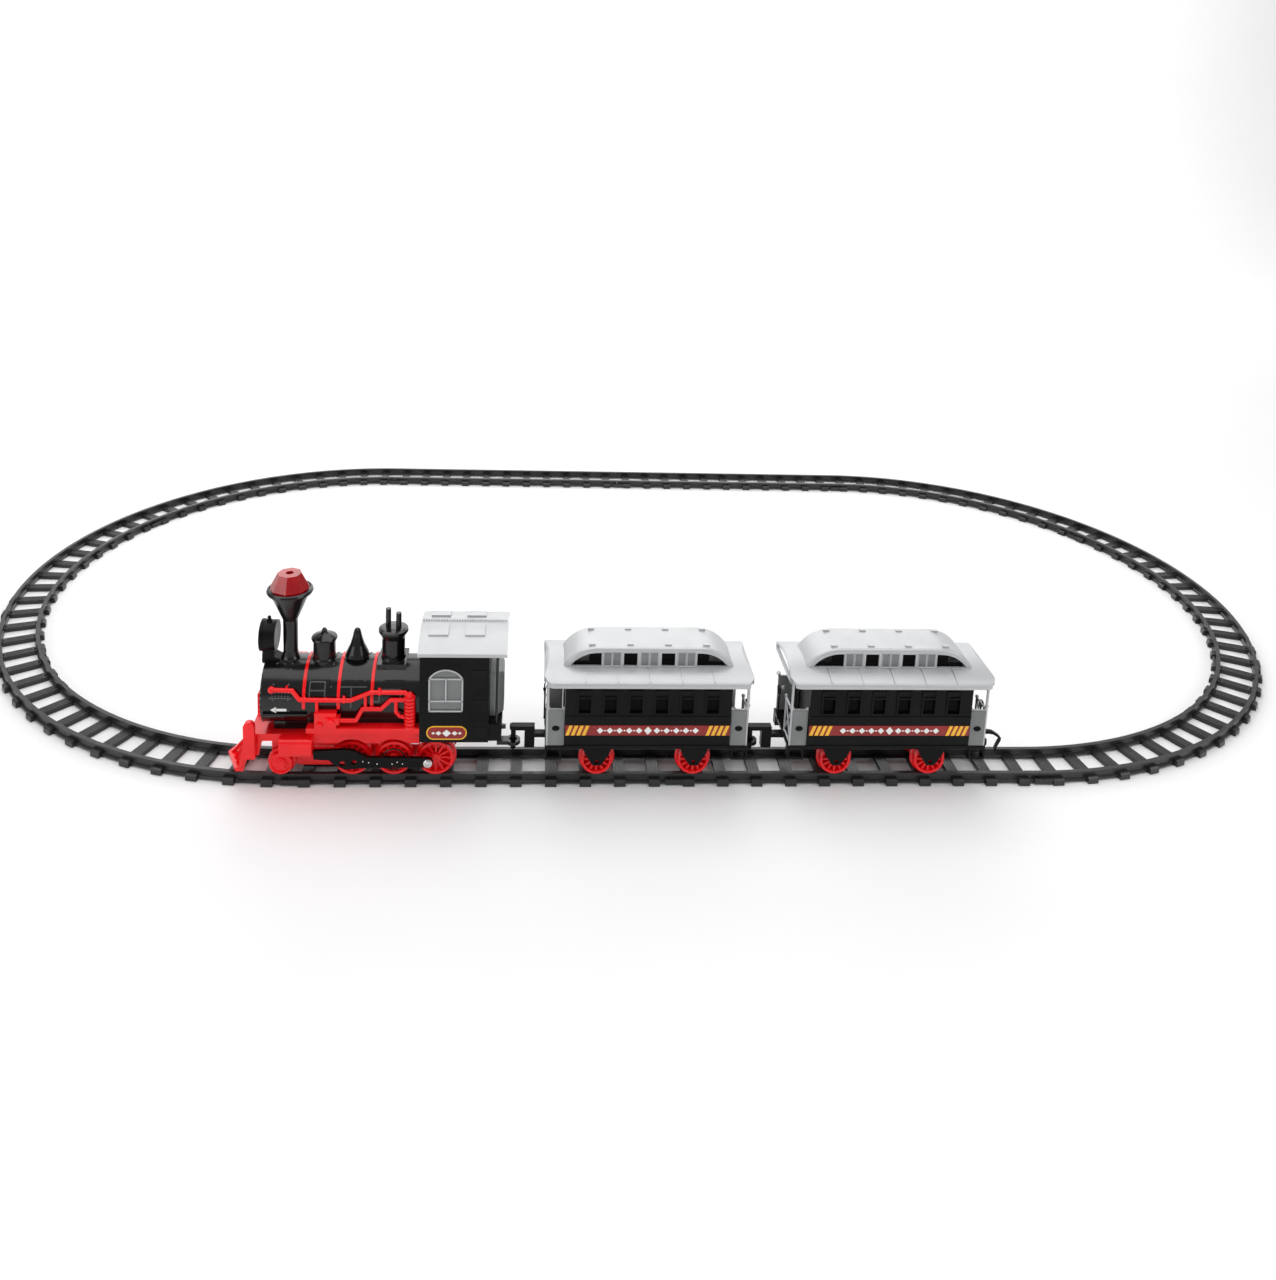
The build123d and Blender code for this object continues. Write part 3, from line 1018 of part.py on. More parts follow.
def coach_roof(x):
    length, w = coach_roof_length / 2, coach_roof_half_width
    spring = coach_top_z
    top = vault_points(w, coach_roof_rise, spring)
    under = vault_points(w - roof_thickness, coach_roof_rise - roof_thickness, spring)
    roof = cross_section(top + list(reversed(under)), x - length, x + length)
    end_round = 6.0
    crest = spring + coach_roof_rise + 0.01
    side_view = [(x - length, spring - 5), (x - length, crest - end_round)]
    side_view += arc_points(x - length + end_round, crest - end_round, end_round, 180, 90, 8)[1:]
    side_view += arc_points(x + length - end_round, crest - end_round, end_round, 90, 0, 8)
    side_view += [(x + length, spring - 5)]
    roof &= side_plate(side_view, -w - 1, w + 1)
    end_wall = cross_section(vault_points(w - 0.9, coach_roof_rise - 0.9, spring), x - length, x + length)
    for end in (-1, 1):
        roof += end_wall & block(*sorted((x + end * (length - 1.6), x + end * (length - 0.01))), -w, w, spring, spring
                                 + coach_roof_rise - end_round + 0.6)
    lip = block(x - length, x + length, w - 1.8, w, spring - 1.6, spring + 0.5)
    roof += both_sides(lip)
    # upstand that closes the space between the body's walls and the vault
    body_half, body_w = coach_body_length / 2, coach_body_half_width
    upstand = cross_section(vault_points(w - 0.9, coach_roof_rise - 0.9, spring), x - body_half, x + body_half)
    upstand &= block(x - body_half, x + body_half, -body_w, body_w, spring, spring + 12)
    upstand -= block(x - body_half + coach_wall, x + body_half - coach_wall, -body_w + coach_wall,
                     body_w - coach_wall, spring - 1, spring + 12)
    roof += upstand
    rounding = 9.0
    for end in (-1, 1):
        for side in (-1, 1):
            cx, cy = x + end * (length - rounding), side * (w - rounding)
            corner = block(*sorted((cx, x + end * (length + 1))), *sorted((cy, side * (w + 1))),
                           spring - 9, spring + 14)
            roof -= corner - rod_z(spring - 10, spring + 15, cx, cy, rounding)
    c = clerestory_half_width
    base = spring + vault_height(c, w, coach_roof_rise)
    crown = base + clerestory_height
    monitor = clerestory_block(x, base - 0.8, crown, 0, -c, c)
    edges = [e for e in monitor.edges() if abs(abs(e.center().Y) - c) < 0.01 and e.center().Z > base]
    monitor = fillet(edges, 2.2)
    monitor -= clerestory_block(x, base - 2.4, crown, 2.0, -c + clerestory_wall, c - clerestory_wall)
    light_low = base + 0.9
    for place in (-light_offset, light_offset):
        monitor -= block(x + place - light_width / 2, x + place + light_width / 2, -c - 1, c + 1,
                         light_low, light_low + light_height)
    end_lights = clerestory_block(x, base, crown, 4.2, -c - 1, c + 1)
    end_lights &= block(x - 90, x + 90, -c - 2, c + 2, light_low, light_low + light_height)
    monitor -= end_lights - block(x - end_light_start, x + end_light_start, -c - 3, c + 3, base - 5, crown + 5)
    roof += monitor
    for i in range(5):
        sx = x + roof_seam_pitch * (i - 2)
        seam = block(sx - 0.5, sx + 0.5, c + 0.6, w - 0.4, spring, spring + 12)
        above = cross_section(vault_points(w, coach_roof_rise + 0.7, spring) + list(reversed(under)),
                              x - length, x + length)
        roof += both_sides(seam & above)
    for i in range(4):
        vx = x - 45.0 + 30.0 * i
        for side in (-1, 1):
            roof += block(vx - 2.5, vx + 2.5, side * 12.5 - 1.3, side * 12.5 + 1.3, crown - 1.0, crown + 1.0)
    return roof


def coach_underframe(x):
    half = coach_roof_length / 2 - 2.0
    w = underframe_half_width
    z1 = coach_floor_z
    z0 = z1 - underframe_thickness
    frame = block(x - half, x + half, -w, w, z0, z1)
    body_half = coach_body_length / 2
    guard_top = coach_wheel_radius - 1.3
    guard_foot = 0.36 * coach_wheel_radius
    for side in (-1, 1):
        for axle in (-1, 1):
            ax = x + axle * coach_wheelbase / 2
            guard = side_plate([(ax - guard_top, z0 + 1), (ax - guard_top, z0 - 3.0),
                                (ax - guard_top + 1.8, coach_axle_z + 6.5), (ax - guard_foot, coach_axle_z - 1.4),
                                (ax - guard_foot + 1.6, coach_axle_z - 3.2), (ax + guard_foot - 1.6, coach_axle_z - 3.2),
                                (ax + guard_foot, coach_axle_z - 1.4), (ax + guard_top - 1.8, coach_axle_z + 6.5),
                                (ax + guard_top, z0 - 3.0), (ax + guard_top, z0 + 1)],
                               wheel_face + 1.2, wheel_face + 3.0)
            guard -= rod_y(0, 60, ax, coach_axle_z, axle_radius + bearing_clearance)
            frame += guard if side > 0 else mirror(guard, about=Plane.XZ)
            bearer = block(ax - 6, ax + 6, wheel_back - 3.4, wheel_back - 0.8, coach_axle_z - 3.5, z0 + 1)
            bearer -= rod_y(0, 60, ax, coach_axle_z, axle_radius + bearing_clearance)
            frame += bearer if side > 0 else mirror(bearer, about=Plane.XZ)
        for end in (-1, 1):
            sx0, sx1 = x + end * (body_half + 2.0), x + end * half
            step = block(*sorted((sx0, sx1)), *sorted((side * (w - 7), side * w)), z0 - step_drop, z0 - step_drop + 1.8)
            hanger = block(*sorted((sx0, sx0 + end * 1.6)), *sorted((side * (w - 7), side * w)), z0 - step_drop, z0 + 1)
            far_hanger = block(*sorted((sx1 - end * 1.6, sx1)), *sorted((side * (w - 7), side * w)),
                               z0 - step_drop, z0 + 1)
            frame += step + hanger + far_hanger
    front = x - half
    pivot = (front + 5.0, 0)
    tail_top = z0 - 2.0
    frame += rod_z(tail_top + drawbar_gap, z0 + 0.5, pivot[0], 0, 4.0)
    frame += rod_z(tail_top - drawbar_thickness - 1.6, z0 + 0.5, pivot[0], 0, pivot_radius)
    frame += eye_plate(x + coach_eye_behind, x + half - 6.0, z0 + 1)
    return frame


def coach_drawbar(x):
    """Swinging hook on the coach's front end, with the pin that drops into the next eye."""
    front = x - coach_roof_length / 2 + 2.0
    pivot_x = front + 5.0
    pin_at = x - coach_pin_ahead
    tail_top = coach_floor_z - underframe_thickness - 2.0
    tail_low = tail_top - drawbar_thickness
    hook_low = eye_z + hook_rise
    hook_top = hook_low + drawbar_thickness
    half = drawbar_width / 2
    riser_x = front - riser_ahead
    hook = block(riser_x, pivot_x, -half, half, tail_low, tail_top)
    hook += rod_z(tail_low, tail_top, pivot_x, 0, half + 0.6)
    hook += block(riser_x - riser_length, riser_x + 0.1, -half, half, eye_z - 6.0, hook_top)
    hook += block(pin_at, riser_x, -half, half, hook_low, hook_top)
    hook += rod_z(hook_low, hook_top, pin_at, 0, half)
    hook += rod_z(eye_z - coupler_pin_drop, hook_top, pin_at, 0, coupler_pin_radius)
    return hook - rod_z(tail_low - 1, tail_top + 1, pivot_x, 0, pivot_radius + pivot_clearance)


def end_railings(x):
    """Silver end fences: corner posts up to the roof, lattice, and grey side panels."""
    pieces = []
    half = coach_roof_length / 2 - 3.6
    z0 = coach_floor_z
    fence_top = z0 + 31.0
    y_post = underframe_half_width - 1.6
    gate = 6.0
    for end in (-1, 1):
        ex = x + end * half
        fence = None
        for side in (-1, 1):
            post = rod_z(z0, coach_top_z - 0.2, ex, side * y_post, 1.1)
            inner = rod_z(z0, fence_top, ex, side * gate, 0.9)
            top = rod_y(*sorted((side * gate, side * y_post)), ex, fence_top - 0.9, 0.9)
            low = rod_y(*sorted((side * gate, side * y_post)), ex, z0 + 2.0, 0.9)
            cross = wire([(ex, side * gate, z0 + 2.0), (ex, side * y_post, fence_top - 0.9)], 0.7)
            cross += wire([(ex, side * y_post, z0 + 2.0), (ex, side * gate, fence_top - 0.9)], 0.7)
            knob = Pos(ex, side * gate, fence_top) * Sphere(1.5)
            panel_x = x + end * (coach_body_length / 2 + 0.4)
            panel = side_plate([(panel_x, z0), (ex, z0), (ex, fence_top + 1.6), (ex - end * 1.6, fence_top + 1.6),
                                (ex - end * 1.6, fence_top), (panel_x + end * 1.6, fence_top),
                                (panel_x + end * 1.6, fence_top + 1.6), (panel_x, fence_top + 1.6)],
                               *sorted((side * (y_post - 0.6), side * (y_post + 0.8))))
            panel -= rod_y(-40, 40, (panel_x + ex) / 2, z0 + 13.0, 2.6) & block(
                ex - 30, ex + 30, *sorted((side * (y_post + 0.3), side * 40)), z0, z0 + 30)
            pieces.append(post + inner + top + low + cross + knob + panel)
    return pieces


def coaches():
    for number in (1, 2):
        x = first_coach_x + coach_pitch * (number - 1)
        name = f"coach_{number}"
        save(f"{name}_body", coach_body(x))
        save(f"{name}_roof", coach_roof(x))
        save(f"{name}_underframe", coach_underframe(x))
        save(f"{name}_drawbar", coach_drawbar(x))
        save(f"{name}_railings", *end_railings(x))
        for place, side in (("front", -1), ("rear", 1)):
            ax = x + side * coach_wheelbase / 2
            wheel = spoked_wheel(coach_wheel_radius, ax, coach_axle_z, spoke_count)
            wheelset(f"{name}_{place}_wheelset", wheel, ax, coach_axle_z)


os.makedirs("parts", exist_ok=True)
track()
driver_wheelsets()
side_rods()
crank_screws()
drive()
loco_frame()
cowcatcher()
boiler()
boiler_bands()
chimney()
domes()
headlamp()
side_pipework()
cab()
cab_roof()
battery_compartment()
couplers_and_screws()
coaches()
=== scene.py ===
"""Looks of the electric train set: finishes, studio and the small trim on the train and track.

Every size is in metres in the part's own frame.  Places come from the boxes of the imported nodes.
"""

import json
import math

import bmesh
import bpy
from mathutils import Matrix, Vector


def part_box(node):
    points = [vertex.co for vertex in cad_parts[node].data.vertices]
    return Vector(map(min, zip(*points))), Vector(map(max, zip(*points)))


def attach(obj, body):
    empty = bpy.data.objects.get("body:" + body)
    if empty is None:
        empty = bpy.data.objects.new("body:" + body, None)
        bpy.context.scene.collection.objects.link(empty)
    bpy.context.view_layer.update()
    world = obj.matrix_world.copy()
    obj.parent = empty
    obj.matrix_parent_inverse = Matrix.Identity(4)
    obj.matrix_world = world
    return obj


bl_info = {
    "name": "Train Set Trim",
    "version": (1, 0, 0),
    "blender": (4, 5, 0),
    "location": "View3D > Sidebar > Train Set",
    "description": "Adds finishes, trim and a small studio to the electric train set",
    "category": "Object",
}

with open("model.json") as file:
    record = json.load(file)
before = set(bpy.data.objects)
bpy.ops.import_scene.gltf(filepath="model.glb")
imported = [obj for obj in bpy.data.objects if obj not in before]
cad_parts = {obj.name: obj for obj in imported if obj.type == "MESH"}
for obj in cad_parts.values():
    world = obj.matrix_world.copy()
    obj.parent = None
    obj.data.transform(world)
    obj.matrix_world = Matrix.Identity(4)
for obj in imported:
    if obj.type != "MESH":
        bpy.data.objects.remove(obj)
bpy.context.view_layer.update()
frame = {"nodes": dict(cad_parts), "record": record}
MM = 0.001


# ---------------------------------------------------------------- places on the part

def middle(node):
    low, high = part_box(node)
    return (low + high) / 2


CAB_LOW, CAB_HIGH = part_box("cab_shell")
BANDS_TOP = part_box("boiler_bands")[1].z
BOILER_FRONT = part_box("boiler_shell")[0].x
TRAIN_Y = middle("cab_shell").y
COACHES = ("coach_1", "coach_2")
COACH_HALF_WIDTH = 29.0 * MM
ROOF_HALF_WIDTH = 34.0 * MM
ROOF_RISE = 9.0 * MM
CLERESTORY_HALF_WIDTH = 18.0 * MM
HUB_FACE = 18.8 * MM
SLEEPER_PITCH = 27.5 * MM
STRAIGHT_SLEEPERS = 22
CURVE_SLEEPERS = 36
HALF_GAUGE = 16.35 * MM
SLEEPER_TOP = 4.0 * MM


# ---------------------------------------------------------------- sizes and colours to change

class TrimSizes(bpy.types.PropertyGroup):
    """Sizes of the trim"""

    rivet_radius: bpy.props.FloatProperty(
        name="Rivet radius", description="Radius of a rivet head on the boiler",
        default=0.75 * MM, min=0.0001, unit="LENGTH", subtype="DISTANCE")
    boiler_radius: bpy.props.FloatProperty(
        name="Boiler radius", description="Radius of the boiler's outside",
        default=25.5 * MM, min=0.01, unit="LENGTH", subtype="DISTANCE")
    band_height: bpy.props.FloatProperty(
        name="Band height", description="How far a boiler band stands off the boiler",
        default=1.0 * MM, min=0.0001, unit="LENGTH", subtype="DISTANCE")
    moulding_height: bpy.props.FloatProperty(
        name="Moulding height", description="How far a moulded line stands off its panel",
        default=0.55 * MM, min=0.0001, unit="LENGTH", subtype="DISTANCE")
    moulding_width: bpy.props.FloatProperty(
        name="Moulding width", description="Width of a moulded line",
        default=1.0 * MM, min=0.0001, unit="LENGTH", subtype="DISTANCE")
    label_thickness: bpy.props.FloatProperty(
        name="Label thickness", description="Thickness of the label plates",
        default=0.5 * MM, min=0.0001, unit="LENGTH", subtype="DISTANCE")
    stripe_height: bpy.props.FloatProperty(
        name="Stripe height", description="Height of the red stripe along a coach",
        default=8.5 * MM, min=0.001, unit="LENGTH", subtype="DISTANCE")


class FinishColours(bpy.types.PropertyGroup):
    """Colours of the plastics"""

    red: bpy.props.FloatVectorProperty(
        name="Red", description="Red of the frame, wheels and pipes", subtype="COLOR", size=4,
        default=(0.90, 0.007, 0.011, 1), min=0, max=1)
    black: bpy.props.FloatVectorProperty(
        name="Black", description="Black of the boiler, cab and coaches", subtype="COLOR", size=4,
        default=(0.0050, 0.0050, 0.0054, 1), min=0, max=1)
    track: bpy.props.FloatVectorProperty(
        name="Track", description="Black of the track", subtype="COLOR", size=4,
        default=(0.018, 0.018, 0.019, 1), min=0, max=1)
    silver: bpy.props.FloatVectorProperty(
        name="Silver", description="Silver of the roofs and railings", subtype="COLOR", size=4,
        default=(0.50, 0.51, 0.52, 1), min=0, max=1)
    grey: bpy.props.FloatVectorProperty(
        name="Grey", description="Grey of the cab windows", subtype="COLOR", size=4,
        default=(0.20, 0.21, 0.21, 1), min=0, max=1)
    yellow: bpy.props.FloatVectorProperty(
        name="Yellow", description="Yellow of the label rims and slashes", subtype="COLOR", size=4,
        default=(0.92, 0.50, 0.030, 1), min=0, max=1)
    label_red: bpy.props.FloatVectorProperty(
        name="Label red", description="Dark red of the labels and stripes", subtype="COLOR", size=4,
        default=(0.26, 0.008, 0.006, 1), min=0, max=1)
    white: bpy.props.FloatVectorProperty(
        name="White", description="White of the arrows and ornaments", subtype="COLOR", size=4,
        default=(0.86, 0.86, 0.85, 1), min=0, max=1)


class StudioSizes(bpy.types.PropertyGroup):
    """Camera and lights"""

    stand: bpy.props.FloatVectorProperty(
        name="Camera stand", description="Where the camera stands", subtype="XYZ", size=3,
        default=(-0.1192, -1.1379, 0.5551), unit="LENGTH")
    heading: bpy.props.FloatProperty(
        name="Heading", description="Turn of the camera to the right of +Y",
        default=math.radians(3.68), subtype="ANGLE", unit="ROTATION")
    tilt: bpy.props.FloatProperty(
        name="Tilt", description="How far the camera looks down",
        default=math.radians(10.39), subtype="ANGLE", unit="ROTATION")
    roll: bpy.props.FloatProperty(
        name="Roll", description="Roll of the camera",
        default=math.radians(2.19), subtype="ANGLE", unit="ROTATION")
    lens: bpy.props.FloatProperty(
        name="Lens", description="Focal length in millimetres", default=31.41, min=1)
    shift_x: bpy.props.FloatProperty(
        name="Shift X", description="Sideways shift of the lens", default=0.0252)
    shift_y: bpy.props.FloatProperty(
        name="Shift Y", description="Upright shift of the lens", default=-0.2812)
    key_power: bpy.props.FloatProperty(
        name="Overhead light", description="Power of the overhead softbox in watts", default=27,
        min=0)
    side_power: bpy.props.FloatProperty(
        name="Side lights", description="Power of the left, right and back softboxes in watts",
        default=8, min=0)
    backdrop_power: bpy.props.FloatProperty(
        name="Backdrop light", description="Power of the light on the backdrop in watts",
        default=60, min=0)
    sky: bpy.props.FloatProperty(
        name="Room light", description="Strength of the even light of the room", default=0.36,
        min=0)


# ---------------------------------------------------------------- workshop helpers

def clear_bench():
    """Leave edit mode and select nothing."""
    if bpy.context.object and bpy.context.object.mode != "OBJECT":
        bpy.ops.object.mode_set(mode="OBJECT")
    bpy.ops.object.select_all(action="DESELECT")


def take(*pieces):
    """Select these pieces, the first one active."""
    clear_bench()
    for piece in pieces:
        piece.select_set(True)
    bpy.context.view_layer.objects.active = pieces[0]


def settle(piece):
    """Put the piece's place, turn and size into its mesh."""
    take(piece)
    bpy.ops.object.transform_apply(location=True, rotation=True, scale=True)
    return piece


def add_block(name, low, high):
    clear_bench()
    low, high = Vector(low), Vector(high)
    bpy.ops.mesh.primitive_cube_add(size=1, location=(low + high) / 2, scale=high - low)
    piece = bpy.context.object
    piece.name = name
    return settle(piece)


AXIS_TURNS = {"X": (0, math.pi / 2, 0), "Y": (math.pi / 2, 0, 0), "Z": (0, 0, 0)}


def add_rod(name, centre, radius, length, axis="Y", sides=24):
    clear_bench()
    bpy.ops.mesh.primitive_cylinder_add(vertices=sides, radius=radius, depth=length,
                                        location=centre, rotation=AXIS_TURNS[axis])
    piece = bpy.context.object
    piece.name = name
    return settle(piece)


def add_ring(name, centre, radius, wire, axis="Y", sides=32):
    clear_bench()
    bpy.ops.mesh.primitive_torus_add(major_radius=radius, minor_radius=wire, major_segments=sides,
                                     minor_segments=10, location=centre, rotation=AXIS_TURNS[axis])
    piece = bpy.context.object
    piece.name = name
    return settle(piece)


def pick(piece, test, kind="FACE"):
    """Enter edit mode with the faces, edges or points selected that pass the test."""
    take(piece)
    bpy.ops.object.mode_set(mode="EDIT")
    bpy.context.tool_settings.mesh_select_mode = (kind == "VERT", kind == "EDGE", kind == "FACE")
    bpy.ops.mesh.select_all(action="DESELECT")
    mesh = bmesh.from_edit_mesh(piece.data)
    if kind == "FACE":
        for face in mesh.faces:
            face.select_set(test(face.calc_center_median(), face.normal))
    elif kind == "EDGE":
        for edge in mesh.edges:
            edge.select_set(test(edge.verts[0].co, edge.verts[1].co))
    else:
        for point in mesh.verts:
            point.select_set(test(point.co))
    mesh.select_flush_mode()
    bmesh.update_edit_mesh(piece.data)


def pick_all(piece):
    take(piece)
    bpy.ops.object.mode_set(mode="EDIT")
    bpy.ops.mesh.select_all(action="SELECT")


def done():
    bpy.ops.object.mode_set(mode="OBJECT")


def inset_near(piece, width, depth):
    """Inset the faces that look to the near side and push them along their normals."""
    pick(piece, lambda centre, normal: normal.y < -0.9)
    bpy.ops.mesh.inset(thickness=width, depth=depth)
    done()
    return piece


def apply_modifier(piece, modifier):
    take(piece)
    bpy.ops.object.modifier_apply(modifier=modifier.name)


def soften(piece, width, segments=2):
    """Round the sharp edges."""
    bevel = piece.modifiers.new("edge", "BEVEL")
    bevel.width = width
    bevel.segments = segments
    bevel.limit_method = "ANGLE"
    bevel.angle_limit = math.radians(40)
    apply_modifier(piece, bevel)
    return piece


def row(piece, count, step):
    """Repeat the piece along a straight row."""
    array = piece.modifiers.new("row", "ARRAY")
    array.count = count
    array.use_relative_offset = False
    array.use_constant_offset = True
    array.constant_offset_displace = step
    apply_modifier(piece, array)
    return piece


def both_sides(piece):
    """Mirror the piece across the train's centre line."""
    clear_bench()
    bpy.ops.object.empty_add(location=(0, TRAIN_Y, 0))
    centre = bpy.context.object
    mirror = piece.modifiers.new("sides", "MIRROR")
    mirror.use_axis = (False, True, False)
    mirror.mirror_object = centre
    mirror.use_mirror_merge = False
    apply_modifier(piece, mirror)
    bpy.data.objects.remove(centre)
    return piece


def recheck(piece):
    """Make every face point outwards."""
    pick_all(piece)
    bpy.ops.mesh.remove_doubles(threshold=1e-7)
    bpy.ops.mesh.normals_make_consistent(inside=False)
    done()
    return piece


def spin_copies(piece, centre, axis, steps, angle):
    """Copy the whole piece round an axis."""
    pick_all(piece)
    bpy.ops.mesh.spin(steps=steps, dupli=True, angle=angle, center=centre, axis=axis)
    bpy.ops.mesh.select_all(action="SELECT")
    bpy.ops.mesh.normals_make_consistent(inside=False)
    done()
    return piece


def turned(piece, centre, axis, angle):
    """Turn the piece about a line through centre."""
    spot = Matrix.Translation(Vector(centre))
    piece.matrix_world = spot @ Matrix.Rotation(angle, 4, axis) @ spot.inverted()
    return settle(piece)


SPIN_AXES = {"X": (1, 0, 0), "Y": (0, 1, 0), "Z": (0, 0, 1)}


def swept_bar(name, low, high, centre, axis, start, sweep):
    """A bar swept round an axis.  low and high give its section where the angle is zero."""
    piece = add_block(name, low, high)
    sides = [abs(high[i] - low[i]) for i in range(3)]
    thin = sides.index(min(sides))
    pick(piece, lambda place, normal: normal[thin] < 0.9)
    bpy.ops.mesh.delete(type="FACE")
    done()
    turned(piece, centre, axis, -start)
    pick_all(piece)
    steps = max(3, int(abs(math.degrees(sweep)) / 6))
    bpy.ops.mesh.spin(steps=steps, angle=sweep, center=centre, axis=SPIN_AXES[axis])
    bpy.ops.mesh.select_all(action="SELECT")
    bpy.ops.mesh.remove_doubles(threshold=1e-7)
    bpy.ops.mesh.normals_make_consistent(inside=False)
    done()
    return piece


def put_together(name, pieces):
    take(*pieces)
    if len(pieces) > 1:
        bpy.ops.object.join()
    whole = bpy.context.object
    whole.name = name
    whole.data.name = name
    return whole


def dress(piece, body, finish):
    """Give the piece its finish, smooth its round faces and fix it to a body."""
    take(piece)
    bpy.ops.object.shade_smooth_by_angle(angle=math.radians(35))
    piece.data.materials.clear()
    piece.data.materials.append(finish)
    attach(piece, body)
    return piece


# ---------------------------------------------------------------- finishes

def new_finish(name):
    finish = bpy.data.materials.get(name)
    if finish:
        return finish, None
    finish = bpy.data.materials.new(name)
    finish.use_nodes = True
    return finish, finish.node_tree


def object_noise(tree, scale, detail=3.0, stretch=(1, 1, 1)):
    coords = tree.nodes.new("ShaderNodeTexCoord")
    mapping = tree.nodes.new("ShaderNodeMapping")
    mapping.inputs["Scale"].default_value = stretch
    noise = tree.nodes.new("ShaderNodeTexNoise")
    noise.inputs["Scale"].default_value = scale
    noise.inputs["Detail"].default_value = detail
    tree.links.new(coords.outputs["Object"], mapping.inputs["Vector"])
    tree.links.new(mapping.outputs["Vector"], noise.inputs["Vector"])
    return noise


def mottle(tree, shader, colour, spread, scale):
    """Slow change of colour, as flow marks in moulded plastic."""
    noise = object_noise(tree, scale, 4.0)
    ramp = tree.nodes.new("ShaderNodeValToRGB")
    dark = [max(0.0, c * (1 - spread)) for c in colour[:3]]
    light = [min(1.0, c * (1 + spread)) for c in colour[:3]]
    ramp.color_ramp.elements[0].position = 0.35
    ramp.color_ramp.elements[0].color = (*dark, 1)
    ramp.color_ramp.elements[1].position = 0.65
    ramp.color_ramp.elements[1].color = (*light, 1)
    tree.links.new(noise.outputs["Fac"], ramp.inputs["Fac"])
    tree.links.new(ramp.outputs["Color"], shader.inputs["Base Color"])


def gloss_change(tree, shader, low, high, scale):
    noise = object_noise(tree, scale, 5.0)
    spread = tree.nodes.new("ShaderNodeMapRange")
    spread.inputs["From Min"].default_value = 0.3
    spread.inputs["From Max"].default_value = 0.7
    spread.inputs["To Min"].default_value = low
    spread.inputs["To Max"].default_value = high
    tree.links.new(noise.outputs["Fac"], spread.inputs["Value"])
    tree.links.new(spread.outputs["Result"], shader.inputs["Roughness"])


def skin_grain(tree, shader, scale, strength, distance, stretch=(1, 1, 1)):
    noise = object_noise(tree, scale, 2.0, stretch)
    bump = tree.nodes.new("ShaderNodeBump")
    bump.inputs["Strength"].default_value = strength
    bump.inputs["Distance"].default_value = distance
    tree.links.new(noise.outputs["Fac"], bump.inputs["Height"])
    tree.links.new(bump.outputs["Normal"], shader.inputs["Normal"])


def varied_finish(name, colour, spread, flow, gloss, rub, grain, depth=0.0003, stretch=(1, 1, 1),
                  **settings):
    """Colour, gloss and skin all change over the piece; settings are the shader's other values."""
    finish, tree = new_finish(name)
    if tree is None:
        return finish
    shader = tree.nodes["Principled BSDF"]
    for setting, value in settings.items():
        shader.inputs[SHADER_INPUTS[setting]].default_value = value
    mottle(tree, shader, colour, spread, flow)
    gloss_change(tree, shader, gloss[0], gloss[1], rub)
    skin_grain(tree, shader, grain[0], grain[1], depth, stretch)
    return finish


SHADER_INPUTS = {
    "metallic": "Metallic",
    "specular": "Specular IOR Level",
    "coat": "Coat Weight",
    "coat_roughness": "Coat Roughness",
    "clear": "Transmission Weight",
    "ior": "IOR",
}


def moulded_plastic(name, colour, gloss, spread=0.08, grain=(900, 0.06), metallic=0.0, coat=0.0,
                    specular=0.5):
    finish = varied_finish(name, colour, spread, 35, gloss, 60, grain, metallic=metallic,
                           specular=specular, coat=coat, coat_roughness=0.05)
    finish.diffuse_color = colour
    return finish


def colours():
    return bpy.context.scene.train_colours


def satin_black():
    """Calmer black of the flat sides: less mirror than the boiler."""
    return moulded_plastic("satin_black_plastic", (0.0045, 0.0047, 0.0049, 1), (0.28, 0.40), 0.25,
                           grain=(800, 0.08), specular=0.12)


def painted_highlight_line_black():
    """The paler black of raised lines and rivets is a painted highlight, standing in for the light
    their edges catch.
    """
    return moulded_plastic("painted_highlight_black_plastic", (0.075, 0.077, 0.080, 1), (0.20, 0.34), 0.2,
                           grain=(800, 0.06), specular=0.6)


def red_plastic():
    return moulded_plastic("glossy_red_plastic", colours().red, (0.16, 0.28), 0.06, coat=0.12,
                           specular=0.35)


def black_plastic():
    return moulded_plastic("glossy_black_plastic", colours().black, (0.14, 0.26), 0.25,
                           grain=(700, 0.05), coat=0.12, specular=0.38)


def track_plastic():
    return moulded_plastic("track_black_plastic", colours().track, (0.26, 0.42), 0.25,
                           grain=(500, 0.16))


def silver_plastic():
    return varied_finish("silver_painted_plastic", colours().silver, 0.05, 2200, (0.30, 0.42), 90,
                         (2600, 0.10), 0.0002, metallic=0.35)


def grey_plastic():
    return moulded_plastic("grey_window_plastic", colours().grey, (0.30, 0.45), 0.08,
                           grain=(1500, 0.20), metallic=0.25)


def white_plastic():
    return moulded_plastic("white_plastic", colours().white, (0.30, 0.40), 0.03)


def yellow_print():
    return moulded_plastic("yellow_label_print", colours().yellow, (0.28, 0.38), 0.08)


def red_print():
    return moulded_plastic("dark_red_label_print", colours().label_red, (0.26, 0.36), 0.10)


# Painted shade: a near-black, barely glossy sheet set behind window openings, standing for the shaded
# inside of a coach.
def painted_shade_backing():
    return moulded_plastic("dark_window_glazing", (0.002, 0.002, 0.0022, 1), (0.30, 0.42), 0.2,
                           specular=0.06)


def red_clear():
    return varied_finish("clear_red_cap", (0.50, 0.004, 0.008, 1), 0.15, 60, (0.05, 0.12), 120,
                         (300, 0.03), clear=0.30, ior=1.49)


def clear_lens():
    return varied_finish("clear_lamp_lens", (0.93, 0.93, 0.90, 1), 0.04, 80, (0.03, 0.08), 150,
                         (420, 0.25), 0.0004, (0.05, 1, 1), clear=0.9, ior=1.49)


